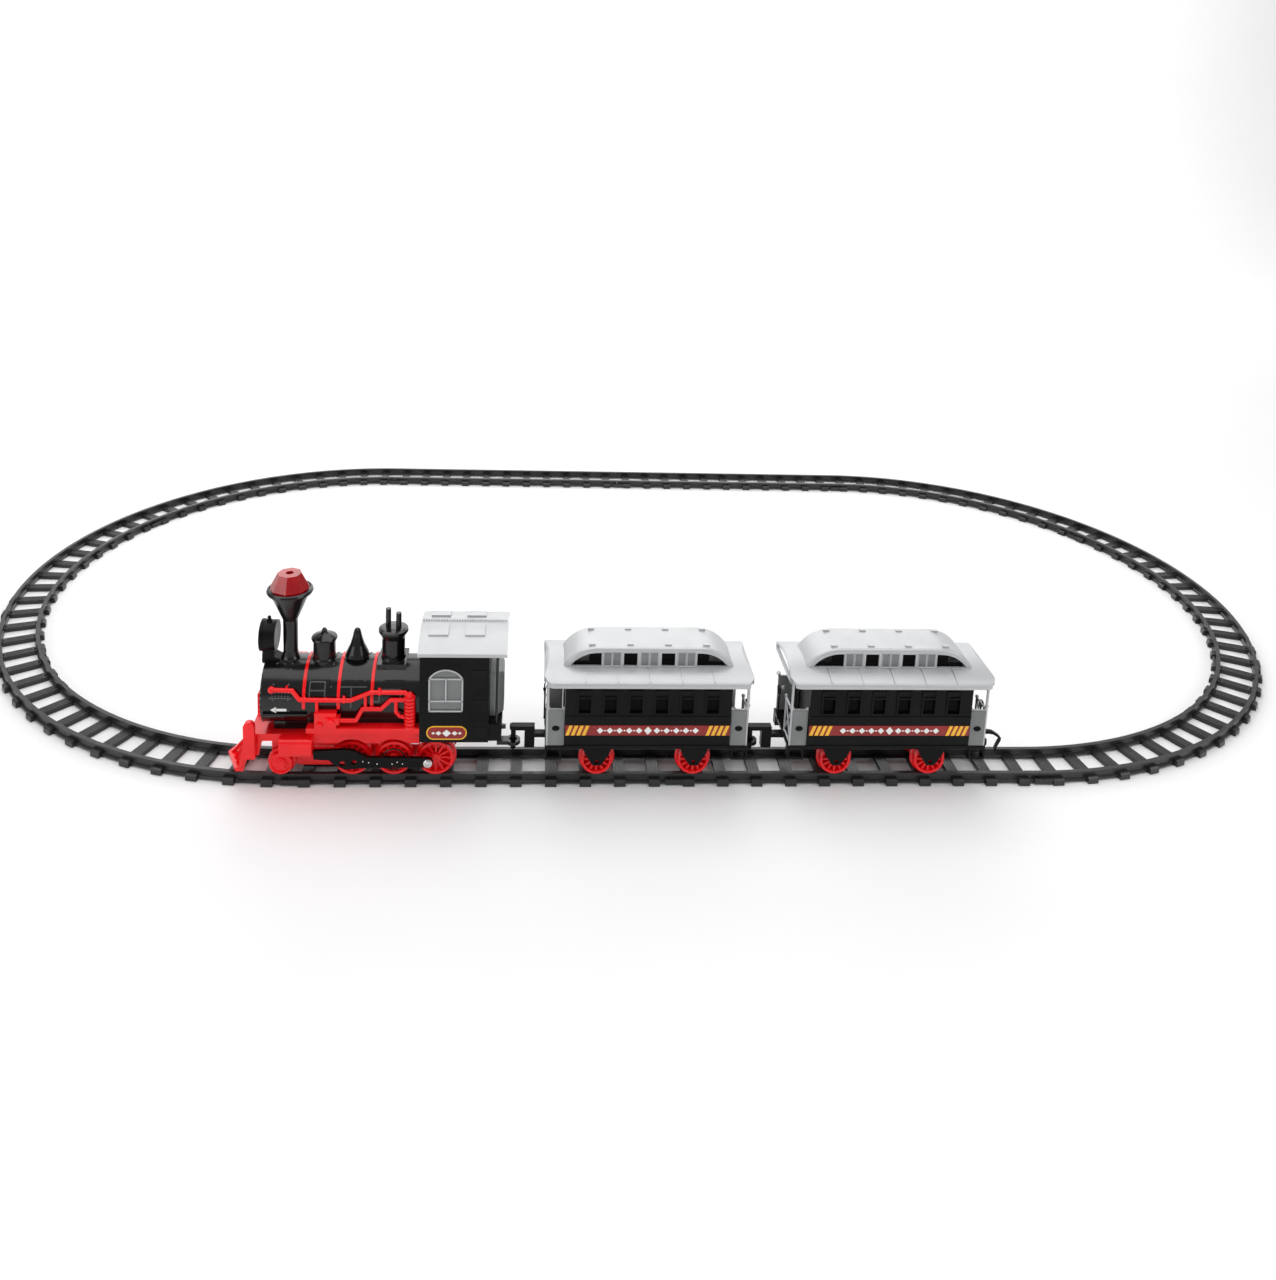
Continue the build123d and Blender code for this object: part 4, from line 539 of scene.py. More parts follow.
def battery_wrap():
    """Foil sleeve: dark body with a warm band near one end."""
    finish, tree = new_finish("battery_foil_wrap")
    if tree is None:
        return finish
    shader = tree.nodes["Principled BSDF"]
    shader.inputs["Metallic"].default_value = 0.6
    low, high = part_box("batteries")
    coords = tree.nodes.new("ShaderNodeTexCoord")
    split = tree.nodes.new("ShaderNodeSeparateXYZ")
    spread = tree.nodes.new("ShaderNodeMapRange")
    spread.inputs["From Min"].default_value = low.z
    spread.inputs["From Max"].default_value = high.z
    ramp = tree.nodes.new("ShaderNodeValToRGB")
    ramp.color_ramp.interpolation = "CONSTANT"
    ramp.color_ramp.elements[0].color = (0.02, 0.05, 0.03, 1)
    ramp.color_ramp.elements[1].position = 0.68
    ramp.color_ramp.elements[1].color = (0.75, 0.34, 0.03, 1)
    tree.links.new(coords.outputs["Object"], split.inputs["Vector"])
    tree.links.new(split.outputs["Z"], spread.inputs["Value"])
    tree.links.new(spread.outputs["Result"], ramp.inputs["Fac"])
    tree.links.new(ramp.outputs["Color"], shader.inputs["Base Color"])
    gloss_change(tree, shader, 0.22, 0.36, 200)
    return finish


def board_green():
    return moulded_plastic("circuit_board_green", (0.01, 0.16, 0.04, 1), (0.30, 0.45), 0.35,
                           grain=(1200, 0.3))


def bright_steel():
    return varied_finish("bright_steel", (0.72, 0.72, 0.73, 1), 0.08, 300, (0.14, 0.30), 400,
                         (1800, 0.08), 0.0002, (1, 0.1, 1), metallic=1.0)


SLOT_FINISHES = {
    "track_black": track_plastic,
    "red_plastic": red_plastic,
    "black_plastic": black_plastic,
    "red_clear": red_clear,
    "clear_lens": clear_lens,
    "silver_plastic": silver_plastic,
    "grey_plastic": grey_plastic,
    "white_plastic": white_plastic,
    "battery_wrap": battery_wrap,
    "board_green": board_green,
    "steel": bright_steel,
}


FLAT_BLACK_NODES = (
    "cab_shell", "headlamp", "side_rods", "bottom_cover", "coach_1_body", "coach_2_body",
    "coach_1_underframe", "coach_2_underframe", "coach_1_drawbar", "coach_2_drawbar",
)


class TRAIN_OT_finishes(bpy.types.Operator):
    """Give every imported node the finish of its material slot"""

    bl_idname = "train.finishes"
    bl_label = "Finishes"

    def execute(self, context):
        slot_of = {s["node"]: s["material_slot"] for s in frame["record"]["subparts"]}
        for name, node in frame["nodes"].items():
            finish = SLOT_FINISHES[slot_of[name]]()
            if name in FLAT_BLACK_NODES:
                finish = satin_black()
            node.data.materials.clear()
            node.data.materials.append(finish)
        return {"FINISHED"}


# ---------------------------------------------------------------- boiler trim

def boiler_axis():
    """Height of the boiler's axis."""
    sizes = bpy.context.scene.train_sizes
    return BANDS_TOP - sizes.boiler_radius - sizes.band_height


def on_side(angle):
    """(y, z) on the boiler's near side, the angle in degrees up from level."""
    radius = bpy.context.scene.train_sizes.boiler_radius
    turn = math.radians(angle)
    return TRAIN_Y - radius * math.cos(turn), boiler_axis() + radius * math.sin(turn)


def boiler_rivet(x, angle):
    """One domed rivet head on the near side, its flat back in the boiler."""
    sizes = bpy.context.scene.train_sizes
    y, z = on_side(angle)
    clear_bench()
    bpy.ops.mesh.primitive_uv_sphere_add(segments=8, ring_count=5, radius=sizes.rivet_radius,
                                         location=(x, y, z))
    head = bpy.context.object
    head.name = "rivet"
    settle(head)
    turn = math.radians(angle)
    outward = (0, -math.cos(turn), math.sin(turn))
    pick_all(head)
    back = Vector((x, y, z)) - Vector(outward) * sizes.rivet_radius * 0.3
    bpy.ops.mesh.bisect(plane_co=back, plane_no=outward, clear_inner=True, use_fill=True)
    done()
    return head


def boiler_hoop(x, low_angle, high_angle, width, height):
    """A raised line round part of the boiler's near side."""
    sizes = bpy.context.scene.train_sizes
    axis_z = boiler_axis()
    near = TRAIN_Y - sizes.boiler_radius
    return swept_bar("hoop", (x - width / 2, near - height, axis_z - 0.01 * MM),
                     (x + width / 2, near + 0.3 * MM, axis_z + 0.01 * MM), (x, TRAIN_Y, axis_z), "X",
                     math.radians(low_angle), math.radians(high_angle - low_angle))


def boiler_line(x0, x1, angle, width, height):
    """A raised line along the boiler at one angle up from level."""
    sizes = bpy.context.scene.train_sizes
    axis_z = boiler_axis()
    near = TRAIN_Y - sizes.boiler_radius
    piece = add_block("line", (x0, near - height, axis_z - width / 2),
                      (x1, near + 0.3 * MM, axis_z + width / 2))
    return turned(piece, (0, TRAIN_Y, axis_z), "X", -math.radians(angle))


class TRAIN_OT_boiler_trim(bpy.types.Operator):
    """Rivets, panel lines and the arrow on the boiler"""

    bl_idname = "train.boiler_trim"
    bl_label = "Boiler trim"

    def execute(self, context):
        sizes = context.scene.train_sizes
        centre = (0, TRAIN_Y, boiler_axis())
        front = BOILER_FRONT
        rings = []
        for x, low, high, steps in (
            (front + 2.0 * MM, -50, 230, 28), (front + 11.5 * MM, 8, 172, 13),
            (front + 23.0 * MM, 8, 172, 13), (front + 35.5 * MM, 8, 172, 13),
            (front + 55.0 * MM, 30, 150, 9), (front + 80.5 * MM, 40, 140, 8),
        ):
            head = boiler_rivet(x, low)
            rings.append(spin_copies(head, centre, (1, 0, 0), steps, math.radians(high - low)))
        for angle in (-14, 14, 20):
            head = boiler_rivet(front + 11.0 * MM, angle)
            rings.append(both_sides(row(head, 6, (2.4 * MM, 0, 0))))
        # Rivets in the paler black: a painted highlight on their heads.
        dress(put_together("boiler_rivets", rings), "loco", painted_highlight_line_black())

        width, height = sizes.moulding_width, sizes.moulding_height
        lines = []
        for x, low, high in ((39.0, 9, 38), (50.5, 9, 38), (70.5, -6, 30), (92.0, 6, 26),
                             (108.0, 6, 26)):
            lines.append(boiler_hoop(front + x * MM, low, high, width, height))
        for x0, x1, angle in (
            (39.0, 50.5, 9), (39.0, 50.5, 24), (39.0, 50.5, 38), (59.5, 82.3, 30), (8.5, 25.5, 11),
            (8.5, 25.5, 23), (3.0, 31.0, -24), (92.0, 108.0, 26), (86.0, 92.0, 6),
            (108.0, 119.0, 6),
        ):
            lines.append(boiler_line(front + x0 * MM, front + x1 * MM, angle, width, height))
        trim = both_sides(put_together("boiler_mouldings", lines))
        # Mouldings in the paler black: a painted highlight along their edges.
        dress(trim, "loco", painted_highlight_line_black())

        _, z = on_side(-11)
        face = TRAIN_Y - sizes.boiler_radius
        tip = front + 9.5 * MM
        clear_bench()
        bpy.ops.mesh.primitive_cylinder_add(vertices=3, radius=2.9 * MM, depth=0.9 * MM,
                                            location=(tip + 2.9 * MM, face + 0.5 * MM, z),
                                            rotation=(math.pi / 2, -math.pi / 2, 0))
        head = settle(bpy.context.object)
        shaft = add_block("shaft", (tip + 3.4 * MM, face + 0.05 * MM, z - 1.0 * MM),
                          (tip + 12.2 * MM, face + 0.95 * MM, z + 1.0 * MM))
        arrow = both_sides(soften(put_together("direction_arrow", [head, shaft]), 0.12 * MM))
        dress(arrow, "loco", white_plastic())
        return {"FINISHED"}


# ---------------------------------------------------------------- cab trim

def round_ended_plate(name, low, high, end_radius, edge):
    """A flat plate facing sideways with round ends, as a pill."""
    plate = add_block(name, low, high)
    low, high = Vector(low), Vector(high)

    def is_corner(a, b):
        return abs(a.x - b.x) < 1e-6 and abs(a.z - b.z) < 1e-6

    pick(plate, is_corner, "EDGE")
    bpy.ops.mesh.bevel(offset=end_radius, segments=8, affect="EDGES", clamp_overlap=True)
    bpy.ops.mesh.select_all(action="SELECT")
    bpy.ops.mesh.remove_doubles(threshold=1e-6)
    done()
    return soften(plate, edge)


def lozenge(name, x, z, face, half_length, half_height, depth):
    """A small flat diamond standing on a side face."""
    clear_bench()
    bpy.ops.mesh.primitive_cylinder_add(vertices=4, radius=1, depth=depth,
                                        location=(x, face - depth / 2 + 0.05 * MM, z),
                                        rotation=(math.pi / 2, 0, 0),
                                        scale=(half_length, half_height, 1))
    piece = bpy.context.object
    piece.name = name
    return settle(piece)


def window_frame(name, x0, x1, z0, z1, face, width, height):
    """A raised rectangular frame on a side face, inset and pushed in from one block."""
    block = add_block(name, (x0, face - height, z0), (x1, face + 0.2 * MM, z1))
    return inset_near(block, width, -height * 0.9)


class TRAIN_OT_cab_trim(bpy.types.Operator):
    """Label plates, door lines and roof ribs of the cab"""

    bl_idname = "train.cab_trim"
    bl_label = "Cab trim"

    def execute(self, context):
        sizes = context.scene.train_sizes
        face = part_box("cab_shell")[0].y
        x0 = CAB_LOW.x + 5.5 * MM
        x1 = x0 + 31.0 * MM
        z0 = CAB_LOW.z + 2.5 * MM
        z1 = z0 + 11.4 * MM
        thick = sizes.label_thickness
        rim = round_ended_plate("label_rim", (x0, face - thick, z0), (x1, face + 0.2 * MM, z1),
                                5.6 * MM, 0.15 * MM)
        pick(rim, lambda centre, normal: normal.y < -0.99 and centre.y < face)
        bpy.ops.mesh.inset(thickness=0.9 * MM, depth=-0.2 * MM)
        done()
        dress(both_sides(rim), "loco", yellow_print())
        field = round_ended_plate("label_field",
                                  (x0 + 1.0 * MM, face - thick - 0.1 * MM, z0 + 1.0 * MM),
                                  (x1 - 1.0 * MM, face, z1 - 1.0 * MM), 4.6 * MM, 0.1 * MM)
        dress(both_sides(field), "loco", red_print())
        mid_x, mid_z = (x0 + x1) / 2, (z0 + z1) / 2
        top = face - thick - 0.1 * MM
        marks = []
        for offset, half_length, half_height in ((0, 3.4, 2.9), (-6.2, 2.2, 1.8), (-10.2, 1.4, 1.1),
                                                 (6.2, 2.2, 1.8), (10.2, 1.4, 1.1)):
            marks.append(lozenge("mark", mid_x + offset * MM, mid_z, top, half_length * MM,
                                 half_height * MM, 0.35 * MM))
        dress(both_sides(put_together("label_ornament", marks)), "loco", white_plastic())

        back = CAB_LOW.x + 53.0 * MM
        frames = []
        for z_low, z_high in ((CAB_LOW.z + 1.2 * MM, CAB_LOW.z + 13.0 * MM),
                              (CAB_LOW.z + 15.5 * MM, CAB_LOW.z + 36.0 * MM),
                              (CAB_LOW.z + 38.0 * MM, CAB_HIGH.z - 15.0 * MM)):
            frames.append(window_frame("door_line", back - 13.0 * MM, back - 1.5 * MM, z_low,
                                       z_high, face, 0.6 * MM, 0.35 * MM))
        doors = both_sides(soften(put_together("cab_door_lines", frames), 0.1 * MM))
        dress(doors, "loco", satin_black())

        roof_low, roof_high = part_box("cab_roof")
        tooth = add_block("ridge_rib",
                          (roof_low.x + 1.2 * MM, TRAIN_Y - 1.6 * MM, roof_high.z - 0.6 * MM),
                          (roof_low.x + 2.2 * MM, TRAIN_Y + 1.6 * MM, roof_high.z + 0.5 * MM))
        soften(tooth, 0.2 * MM)
        row(tooth, 33, (2.0 * MM, 0, 0))
        dress(put_together("cab_roof_ridge", [tooth]), "loco", silver_plastic())
        return {"FINISHED"}


class TRAIN_OT_cab_window_bars(bpy.types.Operator):
    """Light rims and bars over the cab's side windows"""

    bl_idname = "train.cab_window_bars"
    bl_label = "Cab window bars"

    def execute(self, context):
        low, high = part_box("cab_windows")
        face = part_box("cab_shell")[0].y
        front, back = face - 0.55 * MM, face + 0.6 * MM
        bar, rise = 1.1 * MM, 7.5 * MM
        x0, x1 = low.x - 0.2 * MM, high.x + 0.2 * MM
        z0, z1 = low.z - 0.2 * MM, high.z + 0.2 * MM
        spring = z1 - rise
        middle_x = (x0 + x1) / 2

        def upright(x, bottom, top):
            return add_block("bar", (x - bar / 2, front, bottom), (x + bar / 2, back, top))

        def level(z, left, right):
            return add_block("bar", (left, front, z - bar / 2), (right, back, z + bar / 2))

        lower = z0 + 9.0 * MM
        bars = [upright(x0 + bar / 2, z0, spring), upright(x1 - bar / 2, z0, spring),
                level(z0 + bar / 2, x0, x1), level(spring - bar / 2, x0, x1), level(lower, x0, x1),
                upright(middle_x, lower, spring)]
        half = (x1 - x0) / 2
        radius = (half ** 2 + rise ** 2) / (2 * rise)
        centre = (middle_x, face, z1 - radius)
        reach = math.asin(half / radius)
        bars.append(swept_bar("arch_bar", (middle_x + radius - bar, front, centre[2] - 0.01 * MM),
                              (middle_x + radius, back, centre[2] + 0.01 * MM), centre, "Y",
                              math.pi / 2 - reach, 2 * reach))
        whole = soften(put_together("cab_window_bars", bars), 0.12 * MM)
        dress(both_sides(whole), "loco", silver_plastic())
        return {"FINISHED"}


# ---------------------------------------------------------------- coach trim

def slanted_slash(name, x, z0, z1, face, width, lean, depth):
    """One slanted bar: its top is pushed sideways."""
    slash = add_block(name, (x, face - depth, z0), (x + width, face + 0.05 * MM, z1))
    pick(slash, lambda centre, normal: normal.z > 0.9)
    bpy.ops.transform.translate(value=(lean, 0, 0))
    done()
    return slash


def brake_wheel(name, x, y, z, radius):
    """A small hand wheel: a ring, four spokes and a hub, facing along the train."""
    parts = [add_ring(name, (x, y, z), radius, 0.55 * MM, "X", 24),
             add_rod("hub", (x, y, z), 1.1 * MM, 2.4 * MM, "X", 12)]
    for axis in ("Z", "Y"):
        parts.append(add_rod("spoke", (x, y, z), 0.35 * MM, 2 * radius, axis, 8))
    return put_together(name, parts)


class TRAIN_OT_coach_trim(bpy.types.Operator):
    """Stripes, slashes, ornaments, painted-shade window backing and fanlights of the coaches"""

    bl_idname = "train.coach_trim"
    bl_label = "Coach trim"

    def execute(self, context):
        sizes = context.scene.train_sizes
        for coach in COACHES:
            low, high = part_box(coach + "_body")
            cx = (low.x + high.x) / 2
            face = TRAIN_Y - COACH_HALF_WIDTH
            z0 = low.z + 10.5 * MM
            z1 = z0 + sizes.stripe_height
            depth = 0.3 * MM
            stripe = add_block(coach + "_stripe", (low.x + 0.4 * MM, face - depth, z0),
                               (high.x - 0.4 * MM, face + 0.1 * MM, z1))
            soften(stripe, 0.1 * MM)
            dress(both_sides(stripe), coach, red_print())

            top = face - depth
            slashes = []
            for start in (low.x + 0.6 * MM, high.x - 19.6 * MM):
                slash = slanted_slash("slash", start, z0 + 0.1 * MM, z1 - 0.1 * MM, top, 2.6 * MM,
                                      3.0 * MM, 0.15 * MM)
                slashes.append(row(slash, 4, (4.3 * MM, 0, 0)))
            dress(both_sides(put_together(coach + "_slashes", slashes)), coach, yellow_print())

            mid_z = (z0 + z1) / 2
            marks = [lozenge("mark", cx, mid_z, top, 3.0 * MM, 3.4 * MM, 0.2 * MM)]
            for side in (-1, 1):
                for name, offset, half_length, half_height, count in (("mark", 7.0, 2.6, 2.5, 5),
                                                                      ("dot", 10.8, 0.8, 0.8, 4)):
                    mark = lozenge(name, cx + side * offset * MM, mid_z, top, half_length * MM,
                                   half_height * MM, 0.2 * MM)
                    marks.append(row(mark, count, (side * 7.6 * MM, 0, 0)))
            dress(both_sides(put_together(coach + "_ornament", marks)), coach, white_plastic())

            # Painted shade: a dark sheet behind the side windows for the shaded inside of the coach.
            panes = add_block(coach + "_glazing",
                              (low.x + 4 * MM, face + 1.9 * MM, low.z + 27.0 * MM),
                              (high.x - 4 * MM, face + 2.5 * MM, low.z + 50.0 * MM))
            inset_near(panes, 0.8 * MM, -0.15 * MM)
            dress(both_sides(panes), coach, painted_shade_backing())

            sill = low.z + 29.5 * MM
            parts = []
            for i in range(6):
                wx = cx + (i - 2.5) * 20.0 * MM
                light = add_block("fanlight", (wx - 4.75 * MM, face - 0.1 * MM, sill + 12.4 * MM),
                                  (wx + 4.75 * MM, face + 0.7 * MM, sill + 18.1 * MM))
                parts.append(inset_near(light, 0.7 * MM, -0.35 * MM))
                parts.append(add_rod("latch", (wx + 4.9 * MM, face - 0.5 * MM, sill + 19.9 * MM),
                                     0.5 * MM, 1.2 * MM, "Y", 10))
            dress(both_sides(put_together(coach + "_fanlights", parts)), coach, satin_black())
        return {"FINISHED"}


class TRAIN_OT_coach_roof_trim(bpy.types.Operator):
    """Painted-shade backing behind the lights, shutters grey with painted shade, and sills of the
    coaches' raised roofs
    """

    bl_idname = "train.coach_roof_trim"
    bl_label = "Coach roof trim"

    def execute(self, context):
        for coach in COACHES:
            low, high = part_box(coach + "_roof")
            cx = (low.x + high.x) / 2
            face = TRAIN_Y - CLERESTORY_HALF_WIDTH
            crown = high.z - 1.0 * MM
            base = crown - 15.9 * MM
            panes = []
            # Painted shade: dark sheets behind the raised roof's lights for its shaded inside.
            for half, bottom, top in ((59.0, 0.4, 4.2), (47.0, 4.0, 12.2)):
                panes.append(add_block("pane", (cx - half * MM, face + 1.75 * MM, base + bottom * MM),
                                       (cx + half * MM, face + 2.2 * MM, base + top * MM)))
            roof_shade_backing = soften(put_together(coach + "_roof_glazing", panes), 0.08 * MM)
            dress(both_sides(roof_shade_backing), coach, painted_shade_backing())

            leaves, rims = [], []
            for place in (-29.2, 0.0, 29.2):
                for side in (-1, 1):
                    x = cx + place * MM + side * 3.6 * MM
                    rims.append(window_frame("rim", x - 3.5 * MM, x + 3.5 * MM, base + 0.7 * MM,
                                             base + 12.4 * MM, face, 0.6 * MM, 0.5 * MM))
                    leaves.append(add_block("leaf", (x - 2.8 * MM, face - 0.12 * MM, base + 1.4 * MM),
                                            (x + 2.8 * MM, face + 0.1 * MM, base + 11.7 * MM)))
            dress(both_sides(put_together(coach + "_shutter_rims", rims)), coach, silver_plastic())
            # The shutter leaves are silver; their grey is painted shade, the shade on the raised
            # roof's side wall.
            slats = both_sides(soften(put_together(coach + "_shutters", leaves), 0.06 * MM))
            dress(slats, coach, grey_plastic())

            sills = []
            for place, half in ((-48.5, 10.0), (-14.8, 5.6), (14.8, 5.6), (48.5, 10.0)):
                sills.append(add_block("sill",
                                       (cx + (place - half) * MM, face - 0.9 * MM, base + 0.1 * MM),
                                       (cx + (place + half) * MM, face + 0.3 * MM, base + 1.0 * MM)))
            ledge = both_sides(soften(put_together(coach + "_light_sills", sills), 0.2 * MM))
            dress(ledge, coach, silver_plastic())

            seams = []
            for step in (-2, -1, 0, 1, 2):
                x = cx + step * 25.0 * MM
                points = []
                for share in (18.6, 22.0, 25.0, 28.0, 30.6, 32.6):
                    rise = ROOF_RISE * math.sqrt(1 - (share * MM / ROOF_HALF_WIDTH) ** 2)
                    points.append((share * MM, low.z + 1.8 * MM + rise))
                start = TRAIN_Y - points[0][0]
                bar = add_block("seam", (x - 0.5 * MM, start - 0.05 * MM, points[0][1] - 0.7 * MM),
                                (x + 0.5 * MM, start + 0.05 * MM, points[0][1] + 0.7 * MM))
                pick(bar, lambda centre, normal: normal.y < -0.9)
                for here, after in zip(points, points[1:]):
                    move = (0, here[0] - after[0], after[1] - here[1])
                    bpy.ops.mesh.extrude_region_move(TRANSFORM_OT_translate={"value": move})
                done()
                seams.append(recheck(bar))
            ribs = both_sides(put_together(coach + "_roof_seams", seams))
            dress(ribs, coach, silver_plastic())
        return {"FINISHED"}


class TRAIN_OT_coach_end_trim(bpy.types.Operator):
    """Side panels, hand wheels and hooks at the coach ends, and the last coach's bent hook"""

    bl_idname = "train.coach_end_trim"
    bl_label = "Coach end trim"

    def execute(self, context):
        for coach in COACHES:
            low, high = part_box(coach + "_body")
            rail_low, rail_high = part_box(coach + "_railings")
            floor = rail_low.z
            side = rail_low.y
            panels, grips = [], []
            for x0, x1 in ((rail_low.x + 2.0 * MM, low.x - 0.9 * MM),
                           (high.x + 0.9 * MM, rail_high.x - 2.0 * MM)):
                panel = add_block("panel", (x0, side - 0.35 * MM, floor + 0.6 * MM),
                                  (x1, side + 0.1 * MM, floor + 30.4 * MM))
                panels.append(inset_near(panel, 0.8 * MM, -0.2 * MM))
                middle_x = (x0 + x1) / 2
                grip = add_rod("grip", (middle_x, side - 0.2 * MM, floor + 15.0 * MM), 2.2 * MM,
                               0.5 * MM, "Y", 28)
                pick_all(grip)
                bpy.ops.transform.resize(value=(1.35, 1, 1),
                                         center_override=(middle_x, side, floor + 15.0 * MM))
                done()
                bar = add_block("grip_bar", (middle_x - 2.9 * MM, side - 1.1 * MM, floor + 14.5 * MM),
                                (middle_x + 2.9 * MM, side - 0.1 * MM, floor + 15.6 * MM))
                grips += [both_sides(grip), both_sides(soften(bar, 0.2 * MM))]
            plates = both_sides(soften(put_together(coach + "_end_panels", panels), 0.1 * MM))
            dress(plates, coach, grey_plastic())

            for x, lean in ((rail_low.x - 0.8 * MM, -1), (rail_high.x + 0.8 * MM, 1)):
                y = TRAIN_Y - lean * 11.0 * MM
                wheel = brake_wheel("hand_wheel", x, y, floor + 26.0 * MM, 4.2 * MM)
                stem = add_rod("stem", (x - lean * 0.4 * MM, y, floor + 13.0 * MM), 0.7 * MM,
                               26.0 * MM, "Z", 12)
                grips += [wheel, stem]
            hands = put_together(coach + "_hand_wheels", grips)
            dress(hands, coach, satin_black())

            hooks = []
            for x in (rail_low.x + 1.1 * MM, rail_high.x - 1.1 * MM):
                for y in (rail_low.y + 2.0 * MM, rail_high.y - 2.0 * MM):
                    hooks.append(add_ring("hook", (x, y, floor + 33.4 * MM), 1.3 * MM, 0.4 * MM,
                                          "Y", 16))
            dress(put_together(coach + "_rail_hooks", hooks), coach, silver_plastic())

        low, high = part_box("coach_2_underframe")
        x, z = high.x + 0.5 * MM, low.z + 16.5 * MM
        bar = add_block("tow_hook", (x - 3.0 * MM, TRAIN_Y - 2.2 * MM, z - 1.1 * MM),
                        (x + 1.0 * MM, TRAIN_Y + 2.2 * MM, z + 1.1 * MM))
        pick(bar, lambda centre, normal: normal.x > 0.9)
        for dx, dz in ((3.0, -0.6), (5.6, -3.6), (1.4, -1.6), (-2.6, -5.6), (-1.6, -4.6)):
            move = (dx * MM, 0, dz * MM)
            bpy.ops.mesh.extrude_region_move(TRANSFORM_OT_translate={"value": move})
        done()
        recheck(bar)
        soften(bar, 0.35 * MM)
        dress(put_together("coach_2_tow_hook", [bar]), "coach_2", satin_black())
        return {"FINISHED"}


class TRAIN_OT_wheel_trim(bpy.types.Operator):
    """Hub caps, the middle drivers' black bands and the side rods' rivets"""

    bl_idname = "train.wheel_trim"
    bl_label = "Wheel trim"

    def execute(self, context):
        wheels = [("pilot_wheelset", "pilot_wheels", 3.2)]
        for place in ("front", "middle", "rear"):
            wheels.append((place + "_driver_wheelset", place + "_drivers", 2.6))
        for coach in COACHES:
            for place in ("front", "rear"):
                wheels.append((f"{coach}_{place}_wheelset", f"{coach}_{place}_wheels", 2.2))
        for node, body, radius in wheels:
            centre = middle(node)
            face = TRAIN_Y - HUB_FACE
            cap = add_rod("hub", (centre.x, face - 0.3 * MM, centre.z), radius * MM, 1.0 * MM, "Y",
                          20)
            pick(cap, lambda place, normal: normal.y < -0.9)
            bpy.ops.mesh.inset(thickness=0.7 * MM, depth=0)
            bpy.ops.transform.translate(value=(0, 0.35 * MM, 0))
            done()
            soften(cap, 0.15 * MM)
            bead = add_ring("bead", (centre.x, face + 0.1 * MM, centre.z), (radius + 1.0) * MM,
                            0.35 * MM, "Y", 28)
            both = both_sides(put_together(body + "_hubs", [cap, bead]))
            dress(both, body, red_plastic())

        centre = middle("middle_driver_wheelset")
        band = add_ring("band", (centre.x, TRAIN_Y - 20.4 * MM, centre.z), 8.8 * MM, 0.6 * MM, "Y",
                        40)
        dress(both_sides(put_together("middle_driver_bands", [band])), "middle_drivers",
              black_plastic())

        screw = middle("crank_screws")
        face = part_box("side_rods")[0].y
        heads = []
        for offset, drop in ((-50.0, 1.4), (-45.5, 0.4), (-39.0, -0.8), (-27.5, -0.8),
                             (-23.5, 0.8), (-19.5, -0.8)):
            place = (screw.x + offset * MM, face - 0.1 * MM, screw.z + drop * MM)
            heads.append(add_rod("rivet", place, 0.55 * MM, 0.7 * MM, "Y", 10))
        rivets = both_sides(soften(put_together("side_rod_rivets", heads), 0.15 * MM, 1))
        dress(rivets, "side_rods", bright_steel())
        return {"FINISHED"}


class TRAIN_OT_track_trim(bpy.types.Operator):
    """Spike heads beside the rails and grain grooves on the sleepers"""

    bl_idname = "train.track_trim"
    bl_label = "Track trim"

    def execute(self, context):
        pitch, top = SLEEPER_PITCH, SLEEPER_TOP
        oval_y = (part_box("straight_track_3")[1].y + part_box("straight_track_1")[0].y) / 2
        reach = oval_y - middle("straight_track_1").y

        def one_sleeper(x, y):
            parts = []
            for side in (-1, 1):
                for offset in (-3.4, 3.4):
                    spike_y = y + side * HALF_GAUGE + offset * MM
                    parts.append(add_block("spike", (x - 1.1 * MM, spike_y - 0.7 * MM, top),
                                           (x + 1.1 * MM, spike_y + 0.7 * MM, top + 1.0 * MM)))
            for offset in (-2.4, 0.2, 2.6):
                grain_x = x + offset * MM
                parts.append(add_block("grain",
                                       (grain_x - 0.25 * MM, y - 11.0 * MM, top - 0.2 * MM),
                                       (grain_x + 0.25 * MM, y + 11.0 * MM, top + 0.25 * MM)))
            return soften(put_together("sleeper_trim", parts), 0.12 * MM, 1)

        end_x = STRAIGHT_SLEEPERS * pitch / 2
        first = pitch / 2 - end_x
        for name, side in (("near_straight_spikes", -1), ("far_straight_spikes", 1)):
            strip = row(one_sleeper(first, oval_y + side * reach), STRAIGHT_SLEEPERS, (pitch, 0, 0))
            dress(put_together(name, [strip]), "track", track_plastic())
        angle = math.pi / CURVE_SLEEPERS
        for name, side in (("left_curve_spikes", -1), ("right_curve_spikes", 1)):
            one = turned(one_sleeper(0, oval_y - reach), (0, oval_y, 0), "Z", side * angle / 2)
            one.location = (side * end_x, 0, 0)
            settle(one)
            fan = spin_copies(one, (side * end_x, oval_y, 0), (0, 0, -side), CURVE_SLEEPERS - 1,
                              math.pi - angle)
            dress(put_together(name, [fan]), "track", track_plastic())
        return {"FINISHED"}


# ---------------------------------------------------------------- stage

def softbox(name, place, target, size, power):
    data = bpy.data.lights.new(name, "AREA")
    data.shape = "RECTANGLE"
    data.size = size[0]
    data.size_y = size[1]
    data.energy = power
    lamp = bpy.data.objects.new(name, data)
    bpy.context.scene.collection.objects.link(lamp)
    lamp.location = place
    direction = Vector(target) - Vector(place)
    lamp.rotation_euler = direction.to_track_quat("-Z", "Y").to_euler()


